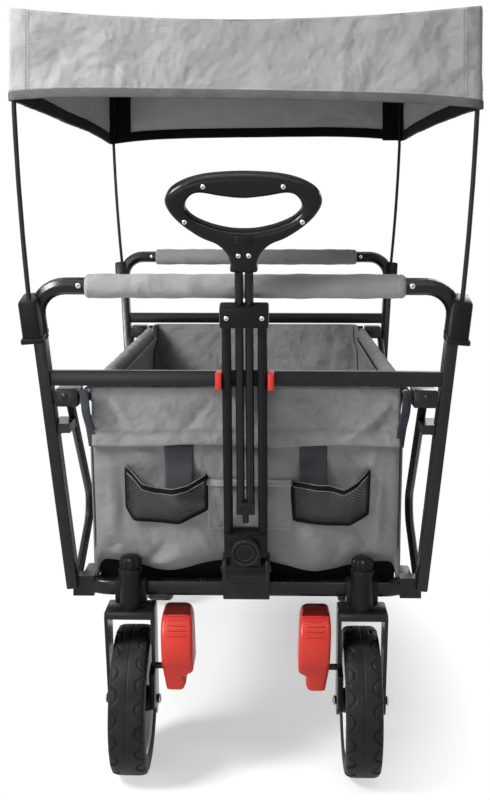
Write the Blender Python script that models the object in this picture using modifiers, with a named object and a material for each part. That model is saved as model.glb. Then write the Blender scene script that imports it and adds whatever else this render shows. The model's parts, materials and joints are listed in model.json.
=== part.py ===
"""Folding wagon with a canopy, modelled in metres: X across, Y from front to rear, Z up.

The front is at -Y, where the pull handle and the swivel wheels are. The model stands on Z = 0.
"""
import math

import bmesh
import bpy
from mathutils import Matrix, Vector

# Clearances
SEAT_GAP = 0.0003
RUNNING_GAP = 0.0004
CLOTH_GAP = 0.0004

# Widths that the whole wagon follows
BASE_FRONT_HALF_WIDTH = 0.185
BASE_REAR_HALF_WIDTH = 0.168
RAIL_SIDE_GAP = 0.026
SIDE_RAIL_STEP = 0.0185

# Lower rail, a U at each end
RAIL_HALF_WIDTH = BASE_FRONT_HALF_WIDTH + RAIL_SIDE_GAP
RAIL_END_Y = 0.350
RAIL_Z = 0.2445
RAIL_RADIUS = 0.010
RAIL_BEND = 0.035
RAIL_STUB_END_Y = 0.283

# Base frame, folded by a hinge in the middle
BASE_PIVOT_Y = 0.305
BASE_TUBE_RADIUS = 0.007
BASE_CROSSBAR_INSET = 0.045
BASE_PIN_RADIUS = 0.004
BASE_END_REACH = 0.0075
PAD_THICKNESS = 0.012
PAD_OVERHANG = 0.004
PAD_END_Y = 0.316
PAD_HINGE_GAP = 0.0006

# End frames: posts lean outward both ways
POST_BOTTOM_Z = 0.245
POST_TOP_Z = 0.579
POST_BOTTOM_X = RAIL_HALF_WIDTH + 0.0178
POST_BOTTOM_Y = 0.348
POST_LEAN_X = 0.0850
POST_LEAN_Y = 0.2347
POST_WIDTH = 0.015
POST_DEPTH = 0.025
CROSSBAR_DROP = 0.051
CROSSBAR_Z = POST_TOP_Z - CROSSBAR_DROP
CROSSBAR_HEIGHT = 0.019
CROSSBAR_DEPTH = 0.014
RAIL_LUG_HEIGHT = 0.026
RAIL_LUG_AHEAD = 0.002
RAIL_LUG_BEHIND = 0.020

# Push bars
PUSH_BAR_RISE = 0.067
PUSH_BAR_Z = POST_TOP_Z + PUSH_BAR_RISE
PUSH_BAR_RADIUS = 0.011
PUSH_BAR_BEND = 0.036
SLEEVE_RADIUS = 0.0155
SLEEVE_HALF_LENGTH = 0.199

# Corner sockets
SOCKET_WIDTH = 0.024
SOCKET_DEPTH = 0.040
SOCKET_HEIGHT = 0.054
SOCKET_OUTWARD = 0.005
SOCKET_FORWARD = 0.009
COLLAR_HEIGHT = 0.007
COLLAR_GROWTH = 0.004

# Upper side rails inside the bag's hems, and their brackets
SIDE_RAIL_X = BASE_FRONT_HALF_WIDTH + SIDE_RAIL_STEP
SIDE_RAIL_DROP = 0.025
SIDE_RAIL_Z = CROSSBAR_Z - SIDE_RAIL_DROP
SIDE_RAIL_RADIUS = 0.007
SIDE_RAIL_END_CUT = 0.015
SIDE_RAIL_PIN_RADIUS = 0.003
TONGUE_THICKNESS = 0.005
TONGUE_LENGTH = 0.032
EYE_THICKNESS = 0.010
OPEN_PIVOT_GAP = 0.0034
BRACKET_HEIGHT = 0.022
BRACKET_INWARD = 0.030
BRACKET_OUTWARD = 0.013

# Corner stays
STAY_RADIUS = 0.006
STAY_STEP = 0.0127
FRONT_STAY_X = RAIL_HALF_WIDTH + 0.0165
REAR_STAY_X = FRONT_STAY_X + STAY_STEP
STAY_KNEE_Y = 0.200
STAY_KNEE_Z = 0.315
STAY_FOOT_Y = 0.322
STAY_BEND = 0.030
STAY_LINK_DROP = 0.041
STAY_LINK_Z = SIDE_RAIL_Z - STAY_LINK_DROP
STAY_LINK_HEIGHT = 0.012

# Wheels
WHEEL_RADIUS = 0.093
WHEEL_WIDTH = 0.048
TYRE_INNER_RADIUS = 0.068
HUB_RADIUS = 0.017
HUB_LENGTH = 0.050
AXLE_RADIUS = 0.005
FRONT_WHEEL_X = 0.150
REAR_WHEEL_X = 0.178
REAR_WHEEL_Y = 0.350
WHEEL_STEPS = 28
HANGER_THICKNESS = 0.012
HANGER_LENGTH = 0.032
AXLE_TUBE_RADIUS = 0.010

# Casters
CASTER_Y = 0.376
CASTER_TRAIL = 0.035
HOUSING_RADIUS = 0.014
HOUSING_BOTTOM_Z = 0.226
HOUSING_TOP_Z = 0.274
HOUSING_CAP_HEIGHT = 0.020
HOUSING_CLAMP_WIDTH = 0.041
HOUSING_CLAMP_HEIGHT = 0.032
STEM_RADIUS = 0.006
STEM_HEIGHT = 0.040
CROWN_THICKNESS = 0.011
CROWN_AHEAD = 0.021
CROWN_BEHIND = 0.030
AXLE_EYE_RADIUS = 0.018
FORK_HALF_WIDTH = 0.032
FORK_LEG_THICKNESS = 0.0045

# Brake pedals
PEDAL_WIDTH = 0.042
PEDAL_TOP_Z = 0.2215
PEDAL_TREAD_Z = 0.196
PEDAL_BOTTOM_Z = 0.127
PEDAL_FRONT_Y = 0.404
PEDAL_DEPTH = 0.060
PEDAL_WALL = 0.003
PEDAL_NOTCH_WIDTH = 0.014
PEDAL_NOTCH_HEIGHT = 0.014
PEDAL_PIVOT_Z = 0.142
PEDAL_PIVOT_Y = 0.355
PEDAL_GAP = 0.009
PEDAL_PIN_RADIUS = 0.004

# Pull handle, in a plane that leans forward from the pivot
HANDLE_PIVOT_Y = 0.381
HANDLE_PIVOT_Z = 0.278
HANDLE_LEAN_DEGREES = 15.5
BARREL_RADIUS = 0.012
BARREL_HALF_LENGTH = 0.024
EAR_THICKNESS = 0.006
EAR_HEIGHT = 0.026
BRACKET_PLATE = 0.0055
HANDLE_PIN_RADIUS = 0.0045
FOOT_WIDTH = 0.055
FOOT_DEPTH = 0.022
FOOT_LOW = 0.021
FOOT_HIGH = 0.054
HUB_DISC_RADIUS = 0.017
HUB_DISC_HEIGHT = 0.007
OUTER_TUBE_RADIUS = 0.006
OUTER_TUBE_X = 0.022
INNER_TUBE_RADIUS = 0.0052
INNER_TUBE_X = 0.0062
CLAMP_LOW = 0.334
CLAMP_HIGH = 0.361
CLAMP_WIDTH = 0.060
CLAMP_DEPTH = 0.024
OUTER_TUBE_HIGH = CLAMP_HIGH - 0.009
SLIDER_LOW = 0.080
SLIDER_HIGH = 0.097
SLIDER_DEPTH = 0.014
SLIDER_STEM_LENGTH = 0.013
SLIDER_STEM_RADIUS = 0.004
GRIP_NECK_LOW = 0.404
GRIP_THICKNESS = 0.026
GRIP_EDGE = 0.008
BUTTON_WIDTH = 0.021
BUTTON_HEIGHT = 0.012
BUTTON_THICKNESS = 0.009
BUTTON_TRAVEL = 0.003
BUTTON_CENTRE = 0.4460
BUTTON_PROUD = 0.002

# Handle clip on the front crossbar
CLIP_LOW = 0.009
CLIP_HIGH = 0.012
CLIP_BACK = 0.005
JAW_LENGTH = 0.038
JAW_THICKNESS = 0.0078

# Bag
BAG_WALL = 0.003
BAG_FLOOR_Z = 0.2600
BAG_HALF_WIDTH = SIDE_RAIL_X - 0.009
WALL_INSET = 0.002
SIDE_WALL_END_GAP = 0.003
FLAP_DROP = 0.068
FLAP_THICKNESS = 0.004
NET_POCKET_BULGE = 0.016
NET_POCKET_X = 0.103
NET_POCKET_WIDTH = 0.084
NET_POCKET_LOW_Z = 0.343
NET_POCKET_HIGH_Z = 0.400
SIDE_POCKET_BULGE = 0.038
SIDE_POCKET_FRONT_Y = 0.145
SIDE_POCKET_REAR_Y = 0.160
SIDE_POCKET_LOW_Z = 0.330
SIDE_POCKET_HIGH_Z = SIDE_RAIL_Z - 0.013

# Canopy
CANOPY_HALF_WIDTH = 0.294
CANOPY_HALF_LENGTH = 0.466
CANOPY_CORNER_Z = 0.990
CANOPY_SAG = 0.016
CANOPY_DROP = 0.120
CANOPY_DROP_RISE = 0.010
CANOPY_WALL = 0.003
POLE_RADIUS = 0.003
POLE_INSET = 0.0095
POLE_BOW = 0.002
POLE_ENTRY_DROP = 0.004
POLE_DEPTH = 0.020

MODEL_NAME = "folding_wagon"
LEAN = math.radians(HANDLE_LEAN_DEGREES)


# Scene, collections and materials


def clear_scene():
    for obj in list(bpy.data.objects):
        bpy.data.objects.remove(obj, do_unlink=True)


def new_collection(name):
    collection = bpy.data.collections.new(name)
    bpy.context.scene.collection.children.link(collection)
    return collection


clear_scene()
PARTS = new_collection(MODEL_NAME)
CUTTERS = new_collection(MODEL_NAME + "_cutters")
CUTTERS.hide_render = True


def material(name, colour, roughness, metallic=0.0):
    made = bpy.data.materials.new(name)
    made.use_nodes = True
    shader = made.node_tree.nodes["Principled BSDF"]
    shader.inputs["Base Color"].default_value = (*colour, 1.0)
    shader.inputs["Roughness"].default_value = roughness
    shader.inputs["Metallic"].default_value = metallic
    return made


BLACK_STEEL = material("black_steel", (0.020, 0.020, 0.022), 0.42, 0.3)
BLACK_PLASTIC = material("black_plastic", (0.024, 0.024, 0.026), 0.45)
RED_PLASTIC = material("red_plastic", (0.62, 0.030, 0.035), 0.38)
GREY_FABRIC = material("grey_fabric", (0.205, 0.205, 0.210), 0.9)
TYRE_RUBBER = material("tyre_rubber", (0.030, 0.030, 0.032), 0.75)
RIM_PLASTIC = material("rim_plastic", (0.55, 0.55, 0.56), 0.4)


# Shape helpers


def add_mesh(name, bm, shade=None):
    mesh = bpy.data.meshes.new(name)
    bm.to_mesh(mesh)
    bm.free()
    made = bpy.data.objects.new(name, mesh)
    PARTS.objects.link(made)
    if shade:
        mesh.materials.append(shade)
    return made


def turn_to(direction):
    """The rotation that takes +Z to a direction, keeping X level where it can."""
    return Vector((0, 0, 1)).rotation_difference(Vector(direction).normalized()).to_matrix().to_4x4()


def smooth(obj, degrees=40):
    obj.data.shade_smooth()
    obj.data.set_sharp_from_angle(angle=math.radians(degrees))
    return obj


def box(name, low, high, shade=None, bevel=0.0):
    """A box between two corners."""
    low, high = Vector(low), Vector(high)
    size = Vector([abs(b - a) for a, b in zip(low, high)])
    centre = (low + high) / 2
    bm = bmesh.new()
    bmesh.ops.create_cube(bm, size=1)
    bmesh.ops.scale(bm, vec=size, verts=bm.verts)
    made = add_mesh(name, bm, shade)
    made.matrix_world = Matrix.Translation(centre)
    if bevel:
        add_bevel(made, bevel)
    return made


def add_bevel(obj, width, segments=2, degrees=40):
    edge = obj.modifiers.new("rounded_edges", "BEVEL")
    edge.width = width
    edge.segments = segments
    edge.limit_method = "ANGLE"
    edge.angle_limit = math.radians(degrees)


def rod(name, start, end, radius, shade=None, steps=14):
    """A straight round bar between two points."""
    start, end = Vector(start), Vector(end)
    bm = bmesh.new()
    bmesh.ops.create_cone(
        bm,
        cap_ends=True,
        segments=steps,
        radius1=radius,
        radius2=radius,
        depth=(end - start).length,
    )
    made = add_mesh(name, bm, shade)
    made.matrix_world = Matrix.Translation((start + end) / 2) @ turn_to(end - start)
    return smooth(made)


def curve_mesh(name, curve, shade):
    """Makes a curve a closed mesh, with its caps welded."""
    holder = bpy.data.objects.new(name + "_curve", curve)
    PARTS.objects.link(holder)
    graph = bpy.context.evaluated_depsgraph_get()
    mesh = bpy.data.meshes.new_from_object(holder.evaluated_get(graph))
    mesh.name = name
    bm = bmesh.new()
    bm.from_mesh(mesh)
    bmesh.ops.remove_doubles(bm, verts=bm.verts, dist=0.00002)
    bmesh.ops.recalc_face_normals(bm, faces=bm.faces)
    bm.to_mesh(mesh)
    bm.free()
    made = bpy.data.objects.new(name, mesh)
    PARTS.objects.link(made)
    bpy.data.objects.remove(holder, do_unlink=True)
    bpy.data.curves.remove(curve)
    mesh.materials.clear()
    if shade:
        mesh.materials.append(shade)
    return smooth(made)


def tube(name, points, radius, shade=None, sides=2):
    """A round tube along a path, closed at both ends."""
    curve = bpy.data.curves.new(name, "CURVE")
    curve.dimensions = "3D"
    curve.bevel_depth = radius
    curve.bevel_resolution = sides
    curve.use_fill_caps = True
    spline = curve.splines.new("POLY")
    spline.points.add(len(points) - 1)
    for target, point in zip(spline.points, points):
        target.co = (*point, 1)
    return curve_mesh(name, curve, shade)


def rounded_path(corners, radius, steps=6):
    """A path through corner points, each inner corner turned into an arc."""
    corners = [Vector(c) for c in corners]
    path = [corners[0]]
    for before, corner, after in zip(corners, corners[1:], corners[2:]):
        back = (before - corner).normalized()
        ahead = (after - corner).normalized()
        half = back.angle(ahead) / 2
        reach = radius / math.tan(half)
        centre = corner + (back + ahead).normalized() * (radius / math.sin(half))
        first = corner + back * reach - centre
        last = corner + ahead * reach - centre
        sweep = first.angle(last)
        for step in range(steps + 1):
            share = step / steps
            path.append(
                centre
                + (first * math.sin((1 - share) * sweep) + last * math.sin(share * sweep)) / math.sin(sweep)
            )
    path.append(corners[-1])
    return path


def plate(name, outlines, thickness, shade=None, bevel=0.0, turn=None, at=(0, 0, 0)):
    """A flat outline, with any holes, given its thickness along its own Z."""
    curve = bpy.data.curves.new(name, "CURVE")
    curve.dimensions = "2D"
    curve.fill_mode = "BOTH"
    curve.extrude = thickness / 2 - bevel
    curve.bevel_depth = bevel
    curve.bevel_resolution = 0
    curve.offset = -bevel
    for outline in outlines:
        spline = curve.splines.new("POLY")
        spline.points.add(len(outline) - 1)
        spline.use_cyclic_u = True
        for target, point in zip(spline.points, outline):
            target.co = (point[0], point[1], 0, 1)
    made = curve_mesh(name, curve, shade)
    made.matrix_world = Matrix.Translation(at) @ (turn if turn is not None else Matrix.Identity(4))
    return made


def turned(name, profile, shade, steps, centre, axis):
    """A closed profile of (radius, height) points, swept once round an axis."""
    bm = bmesh.new()
    made = [bm.verts.new((radius, 0, height)) for radius, height in profile]
    for first, second in zip(made, made[1:] + made[:1]):
        bm.edges.new((first, second))
    obj = add_mesh(name, bm, shade)
    sweep = obj.modifiers.new("turn", "SCREW")
    sweep.steps = steps
    sweep.render_steps = steps
    sweep.use_merge_vertices = True
    sweep.merge_threshold = 0.00002
    obj.matrix_world = Matrix.Translation(centre) @ turn_to(axis)
    return obj


def arc(centre, radius, start, end, steps):
    """Points on an arc, angles in degrees."""
    made = []
    for step in range(steps + 1):
        angle = math.radians(start + (end - start) * step / steps)
        made.append((centre[0] + radius * math.cos(angle), centre[1] + radius * math.sin(angle)))
    return made


def hide_as_tool(tool):
    tool.hide_render = True
    tool.display_type = "WIRE"
    if tool.name in PARTS.objects:
        PARTS.objects.unlink(tool)
        CUTTERS.objects.link(tool)


def boolean(target, tool, operation):
    step = target.modifiers.new(operation.lower() + "_" + tool.name, "BOOLEAN")
    step.operation = operation
    step.solver = "EXACT"
    step.object = tool
    hide_as_tool(tool)
    return target


def join(target, *tools):
    for tool in tools:
        boolean(target, tool, "UNION")
    return target


def cut(target, *tools):
    for tool in tools:
        boolean(target, tool, "DIFFERENCE")
    return target


# Places that several pieces share


SIDES = {"left": -1, "right": 1}
ENDS = {"front": -1, "rear": 1}
SIDEWAYS = Matrix(((0, 0, 1, 0), (1, 0, 0, 0), (0, 1, 0, 0), (0, 0, 0, 1)))
UPRIGHT = Matrix(((1, 0, 0, 0), (0, 0, -1, 0), (0, 1, 0, 0), (0, 0, 0, 1)))
WHEEL_Z = WHEEL_RADIUS
FRONT_WHEEL_Y = CASTER_Y - CASTER_TRAIL
SIDE_RAIL_PIVOT_Y = POST_BOTTOM_Y + POST_LEAN_Y * (SIDE_RAIL_Z - POST_BOTTOM_Z)
HANDLE_FRAME = Matrix.Translation((0, -HANDLE_PIVOT_Y, HANDLE_PIVOT_Z)) @ Matrix.Rotation(LEAN, 4, "X")


def post_x(z):
    return POST_BOTTOM_X + POST_LEAN_X * (z - POST_BOTTOM_Z)


def post_y(z):
    return POST_BOTTOM_Y + POST_LEAN_Y * (z - POST_BOTTOM_Z)


def on_post(side, end, z):
    return Vector((side * post_x(z), end * post_y(z), z))


def bar(name, start, end, width, depth, shade=None, bevel=0.0):
    """A straight bar of rectangular section between two points."""
    start, end = Vector(start), Vector(end)
    bm = bmesh.new()
    bmesh.ops.create_cube(bm, size=1)
    bmesh.ops.scale(bm, vec=(width, depth, (end - start).length), verts=bm.verts)
    made = add_mesh(name, bm, shade)
    made.matrix_world = Matrix.Translation((start + end) / 2) @ turn_to(end - start)
    if bevel:
        add_bevel(made, bevel)
    return made


def block(name, centre_x, x_size, y_range, z_range, shade=None, bevel=0.0):
    """A box given by its middle and width across, and its ranges along Y and Z."""
    half = x_size / 2
    low = (centre_x - half, min(y_range), min(z_range))
    high = (centre_x + half, max(y_range), max(z_range))
    return box(name, low, high, shade, bevel)


# End frames


def rail_path(end):
    stub = end * RAIL_STUB_END_Y
    far = end * RAIL_END_Y
    return rounded_path(
        [
            (-RAIL_HALF_WIDTH, stub, RAIL_Z),
            (-RAIL_HALF_WIDTH, far, RAIL_Z),
            (RAIL_HALF_WIDTH, far, RAIL_Z),
            (RAIL_HALF_WIDTH, stub, RAIL_Z),
        ],
        RAIL_BEND,
    )


def lower_rail(word):
    """The U of the lower rail, with the pins that the base frame turns on."""
    end = ENDS[word]
    base_half = BASE_FRONT_HALF_WIDTH if end < 0 else BASE_REAR_HALF_WIDTH
    rail = tube(f"{word}_lower_rail", rail_path(end), RAIL_RADIUS, BLACK_STEEL)
    y = end * BASE_PIVOT_Y
    for side in SIDES.values():
        outer = side * RAIL_HALF_WIDTH
        collar_end = side * (base_half + BASE_TUBE_RADIUS + RUNNING_GAP)
        pin_end = side * (base_half - BASE_TUBE_RADIUS - RUNNING_GAP)
        collar = rod("pivot_collar", (outer, y, RAIL_Z), (collar_end, y, RAIL_Z), BASE_TUBE_RADIUS)
        pin = rod("base_pin", (outer, y, RAIL_Z), (pin_end, y, RAIL_Z), BASE_PIN_RADIUS, steps=12)
        join(rail, collar, pin)
    return rail


def end_frame(word):
    """Two leaning posts, the crossbar between them and the clamps on the lower rail."""
    end = ENDS[word]
    frame = None
    for side in SIDES.values():
        post = bar(
            f"{word}_frame" if frame is None else "post",
            on_post(side, end, POST_BOTTOM_Z),
            on_post(side, end, POST_TOP_Z),
            POST_WIDTH,
            POST_DEPTH,
            BLACK_STEEL,
            0.002,
        )
        frame = post if frame is None else join(frame, post)
    reach = post_x(CROSSBAR_Z)
    y = end * post_y(CROSSBAR_Z)
    half_depth, half_height = CROSSBAR_DEPTH / 2, CROSSBAR_HEIGHT / 2
    join(
        frame,
        box(
            "crossbar",
            (-reach, y - half_depth, CROSSBAR_Z - half_height),
            (reach, y + half_depth, CROSSBAR_Z + half_height),
            bevel=0.0015,
        ),
    )
    for side in SIDES.values():
        inner = RAIL_HALF_WIDTH - RAIL_RADIUS
        lug = box(
            "rail_clamp",
            (side * inner, end * (RAIL_END_Y + RAIL_LUG_AHEAD), RAIL_Z - RAIL_LUG_HEIGHT / 2),
            (side * POST_BOTTOM_X, end * (RAIL_END_Y - RAIL_LUG_BEHIND), RAIL_Z + RAIL_LUG_HEIGHT / 2),
        )
        join(frame, lug)
    cut(frame, tube("rail_room", rail_path(end), RAIL_RADIUS + SEAT_GAP))
    return frame


def push_bar_path(end):
    foot_z = POST_TOP_Z + SEAT_GAP
    corners = []
    for side in SIDES.values():
        corners.append(on_post(side, end, foot_z))
        corners.append(on_post(side, end, PUSH_BAR_Z))
    return rounded_path([corners[0], corners[1], corners[3], corners[2]], PUSH_BAR_BEND, 8)


def push_bar(word):
    return tube(f"{word}_push_bar", push_bar_path(ENDS[word]), PUSH_BAR_RADIUS, BLACK_STEEL)


def grip_sleeve(word):
    y = ENDS[word] * post_y(PUSH_BAR_Z)
    start, end = (-SLEEVE_HALF_LENGTH, y, PUSH_BAR_Z), (SLEEVE_HALF_LENGTH, y, PUSH_BAR_Z)
    sleeve = rod(f"{word}_grip_sleeve", start, end, SLEEVE_RADIUS, GREY_FABRIC, 24)
    over = Vector((0.01, 0, 0))
    room = rod("bar_room", Vector(start) - over, Vector(end) + over, PUSH_BAR_RADIUS + SEAT_GAP, steps=24)
    return cut(sleeve, room)


def pole_line(side, end):
    """The canopy pole's foot in the socket, its entry under the valance and its head under the roof."""
    low_z = POST_TOP_Z + SOCKET_HEIGHT - POLE_DEPTH
    low = on_post(side, end, low_z)
    low.x += side * SOCKET_OUTWARD
    low.y += end * (PUSH_BAR_RADIUS + POLE_RADIUS + 0.003)
    x = CANOPY_HALF_WIDTH - POLE_INSET
    y = CANOPY_HALF_LENGTH - POLE_INSET
    high = Vector((side * x, end * y, roof_z(x, y) - CANOPY_WALL - 2 * CLOTH_GAP))
    entry = Vector((high.x, high.y, valance_z(x, y) - POLE_ENTRY_DROP))
    return low, entry, high


def pole_path(side, end, steps=8):
    """The pole's line: bowed outward up to the valance, and upright inside it."""
    foot, entry, head = pole_line(side, end)
    bow = Vector((side * POLE_BOW, 0, 0))
    path = []
    for step in range(steps + 1):
        t = step / steps
        path.append(foot.lerp(entry, t) + bow * 4 * t * (1 - t))
    return path + [head]


def socket(word, side_word):
    """A moulded corner piece: holds the push bar's leg, and the canopy pole from above."""
    side, end = SIDES[side_word], ENDS[word]
    out = Vector((side * SOCKET_OUTWARD, end * SOCKET_FORWARD, 0))
    low = on_post(side, end, POST_TOP_Z + SEAT_GAP)
    high = on_post(side, end, POST_TOP_Z + SOCKET_HEIGHT)
    body = bar(
        f"{word}_socket_{side_word}", low + out, high + out, SOCKET_WIDTH, SOCKET_DEPTH, BLACK_PLASTIC, 0.004
    )
    collar = bar(
        "collar",
        low + out,
        low + out + (high - low).normalized() * COLLAR_HEIGHT,
        SOCKET_WIDTH + COLLAR_GROWTH,
        SOCKET_DEPTH + COLLAR_GROWTH,
        bevel=0.002,
    )
    join(body, collar)
    path = pole_path(side, end)
    path[0] = path[0] + (path[0] - path[1]).normalized() * SEAT_GAP
    pole_room = tube("pole_room", path, POLE_RADIUS + SEAT_GAP)
    leg_room = tube("leg_room", push_bar_path(end), PUSH_BAR_RADIUS + SEAT_GAP)
    return cut(body, leg_room, pole_room)


def top_bracket(word, side_word):
    """Holds the end of the side rail; bolted to the inner face of the post."""
    side, end = SIDES[side_word], ENDS[word]
    outer = post_x(SIDE_RAIL_Z) - POST_WIDTH / 2 - 0.002
    inner = SIDE_RAIL_X + SIDE_RAIL_RADIUS + RUNNING_GAP
    y = end * SIDE_RAIL_PIVOT_Y
    body = block(
        f"{word}_bracket_{side_word}",
        side * (outer + inner) / 2,
        outer - inner,
        (y - end * BRACKET_INWARD, y + end * BRACKET_OUTWARD),
        (SIDE_RAIL_Z - BRACKET_HEIGHT / 2, SIDE_RAIL_Z + BRACKET_HEIGHT / 2),
        BLACK_STEEL,
        0.002,
    )
    pin_radius = SIDE_RAIL_PIN_RADIUS
    pin = rod(
        "side_rail_pin",
        (side * (outer + inner) / 2, y, SIDE_RAIL_Z),
        (side * (SIDE_RAIL_X - SIDE_RAIL_RADIUS), y, SIDE_RAIL_Z),
        pin_radius,
        steps=12,
    )
    post = bar(
        "post_room",
        on_post(side, end, POST_BOTTOM_Z),
        on_post(side, end, POST_TOP_Z),
        POST_WIDTH + 2 * SEAT_GAP,
        POST_DEPTH + 2 * SEAT_GAP,
    )
    join(body, pin)
    return cut(body, post)


def stay(word, side_word):
    """The bent tube between the bracket and the lower rail, with its short link to the post."""
    side, end = SIDES[side_word], ENDS[word]
    x = side * (FRONT_STAY_X if end < 0 else REAR_STAY_X)
    top_z = SIDE_RAIL_Z - BRACKET_HEIGHT / 2 - SEAT_GAP
    top_y = post_y(top_z) - POST_DEPTH / 2 - STAY_RADIUS * 1.2
    top = Vector((x, end * top_y, top_z))
    knee = Vector((x, end * STAY_KNEE_Y, STAY_KNEE_Z))
    foot = Vector((x, end * STAY_FOOT_Y, RAIL_Z))
    path = rounded_path([top + Vector((0, 0, 0.004)), knee, foot], STAY_BEND)
    made = tube(f"{word}_stay_{side_word}", path, STAY_RADIUS, BLACK_STEEL)
    share = (top.z - STAY_LINK_Z) / (top.z - knee.z)
    at = top.lerp(knee, share)
    inner_face = post_x(STAY_LINK_Z) - POST_WIDTH / 2
    post_back = post_y(STAY_LINK_Z) + POST_DEPTH / 2
    link = box(
        "post_link",
        (x - side * STAY_RADIUS * 0.6, at.y - end * 0.003, STAY_LINK_Z - STAY_LINK_HEIGHT / 2),
        (side * (inner_face + 0.006), end * (post_back - 0.006), STAY_LINK_Z + STAY_LINK_HEIGHT / 2),
    )
    spacer = rod(
        "rail_spacer",
        (x, foot.y, RAIL_Z),
        (side * (RAIL_HALF_WIDTH + RAIL_RADIUS * 0.5), foot.y, RAIL_Z),
        STAY_RADIUS * 0.9,
        steps=12,
    )
    join(made, link, spacer)
    post = bar(
        "post_room",
        on_post(side, end, POST_BOTTOM_Z),
        on_post(side, end, POST_TOP_Z),
        POST_WIDTH + 2 * SEAT_GAP,
        POST_DEPTH + 2 * SEAT_GAP,
    )
    rail_room = tube("rail_room", rail_path(end), RAIL_RADIUS + SEAT_GAP)
    above = block("bracket_room", x, 0.04, (top.y - 0.03, top.y + 0.03), (top_z, top_z + 0.03))
    return cut(made, post, rail_room, above)


# Folding middle


def base_half(word):
    """One half of the base frame: two rails, three cross tubes and the bores of its hinges."""
    end = ENDS[word]
    half = BASE_FRONT_HALF_WIDTH if end < 0 else BASE_REAR_HALF_WIDTH
    radius = BASE_TUBE_RADIUS
    far = end * (BASE_PIVOT_Y + BASE_END_REACH)
    near = -end * BASE_END_REACH
    frame = None
    for side in SIDES.values():
        rail = rod(
            f"base_frame_{word}" if frame is None else "base_rail",
            (side * half, far, RAIL_Z),
            (side * half, near, RAIL_Z),
            radius,
            BLACK_STEEL,
            12,
        )
        frame = rail if frame is None else join(frame, rail)
    inset = BASE_CROSSBAR_INSET
    for bar_y in (inset, BASE_PIVOT_Y / 2, BASE_PIVOT_Y - inset):
        left, right = (-half, end * bar_y, RAIL_Z), (half, end * bar_y, RAIL_Z)
        join(frame, rod("cross_tube", left, right, radius * 0.9, steps=10))
    pin_room = BASE_PIN_RADIUS + RUNNING_GAP
    for side in SIDES.values():
        over = side * (half + 2 * radius)
        under = side * (half - 2 * radius)
        y = end * BASE_PIVOT_Y
        cut(frame, rod("end_bore", (over, y, RAIL_Z), (under, y, RAIL_Z), pin_room, steps=14))
        if end > 0:
            cut(frame, rod("centre_bore", (over, 0, RAIL_Z), (under, 0, RAIL_Z), pin_room, steps=14))
        else:
            inner = side * (BASE_REAR_HALF_WIDTH - radius - RUNNING_GAP)
            root, tip = (side * half, 0, RAIL_Z), (inner, 0, RAIL_Z)
            join(frame, rod("centre_pin", root, tip, BASE_PIN_RADIUS, steps=12))
    return frame


def floor_pad(word):
    """A pad on one base half, kept clear of the other half's tube ends as they swing."""
    end = ENDS[word]
    above = BASE_TUBE_RADIUS + SEAT_GAP
    low_z = RAIL_Z + above
    swing = math.sqrt(BASE_END_REACH**2 + BASE_TUBE_RADIUS**2 - above**2)
    return block(
        f"floor_pad_{word}",
        0,
        2 * (BASE_FRONT_HALF_WIDTH + PAD_OVERHANG),
        (end * (swing + PAD_HINGE_GAP), end * PAD_END_Y),
        (low_z, low_z + PAD_THICKNESS),
        GREY_FABRIC,
        0.003,
    )


def side_rail(word, side_word):
    """Half of an upper side rail, with a tongue at the centre hinge."""
    side, end = SIDES[side_word], ENDS[word]
    x, z, radius = side * SIDE_RAIL_X, SIDE_RAIL_Z, SIDE_RAIL_RADIUS
    far = end * (SIDE_RAIL_PIVOT_Y + (radius if end < 0 else 0))
    near = end * SIDE_RAIL_END_CUT
    made = rod(f"side_rail_{word}_{side_word}", (x, far, z), (x, near, z), radius, BLACK_STEEL, 16)
    # The front tongue lies on the inner half of the tube and the rear one on the outer half.
    shift = side * end * (TONGUE_THICKNESS / 2 + RUNNING_GAP / 2)
    low_x, high_x = x + shift - TONGUE_THICKNESS / 2, x + shift + TONGUE_THICKNESS / 2
    tongue_half = radius * 0.85
    join(
        made,
        box("tongue", (low_x, 0, z - tongue_half), (high_x, end * TONGUE_LENGTH, z + tongue_half)),
        rod("tongue_end", (low_x, 0, z), (high_x, 0, z), tongue_half, steps=16),
    )
    pin_radius = SIDE_RAIL_PIN_RADIUS
    over = 3 * radius
    if end < 0:
        middle = x + shift
        reach = x - shift * 2
        join(made, rod("centre_pin", (middle, 0, z), (reach, 0, z), pin_radius, steps=12))
        bore = pin_radius + RUNNING_GAP
    else:
        cut(made, rod("centre_bore", (x - over, 0, z), (x + over, 0, z), pin_radius + RUNNING_GAP, steps=12))
        eye_half = EYE_THICKNESS / 2
        eye = rod("rail_eye", (x - eye_half, far, z), (x + eye_half, far, z), radius * 1.5, steps=20)
        join(made, eye)
        bore = pin_radius + OPEN_PIVOT_GAP
    y = end * SIDE_RAIL_PIVOT_Y
    return cut(made, rod("end_bore", (x - over, y, z), (x + over, y, z), bore))


# Wheels, casters and brakes


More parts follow.
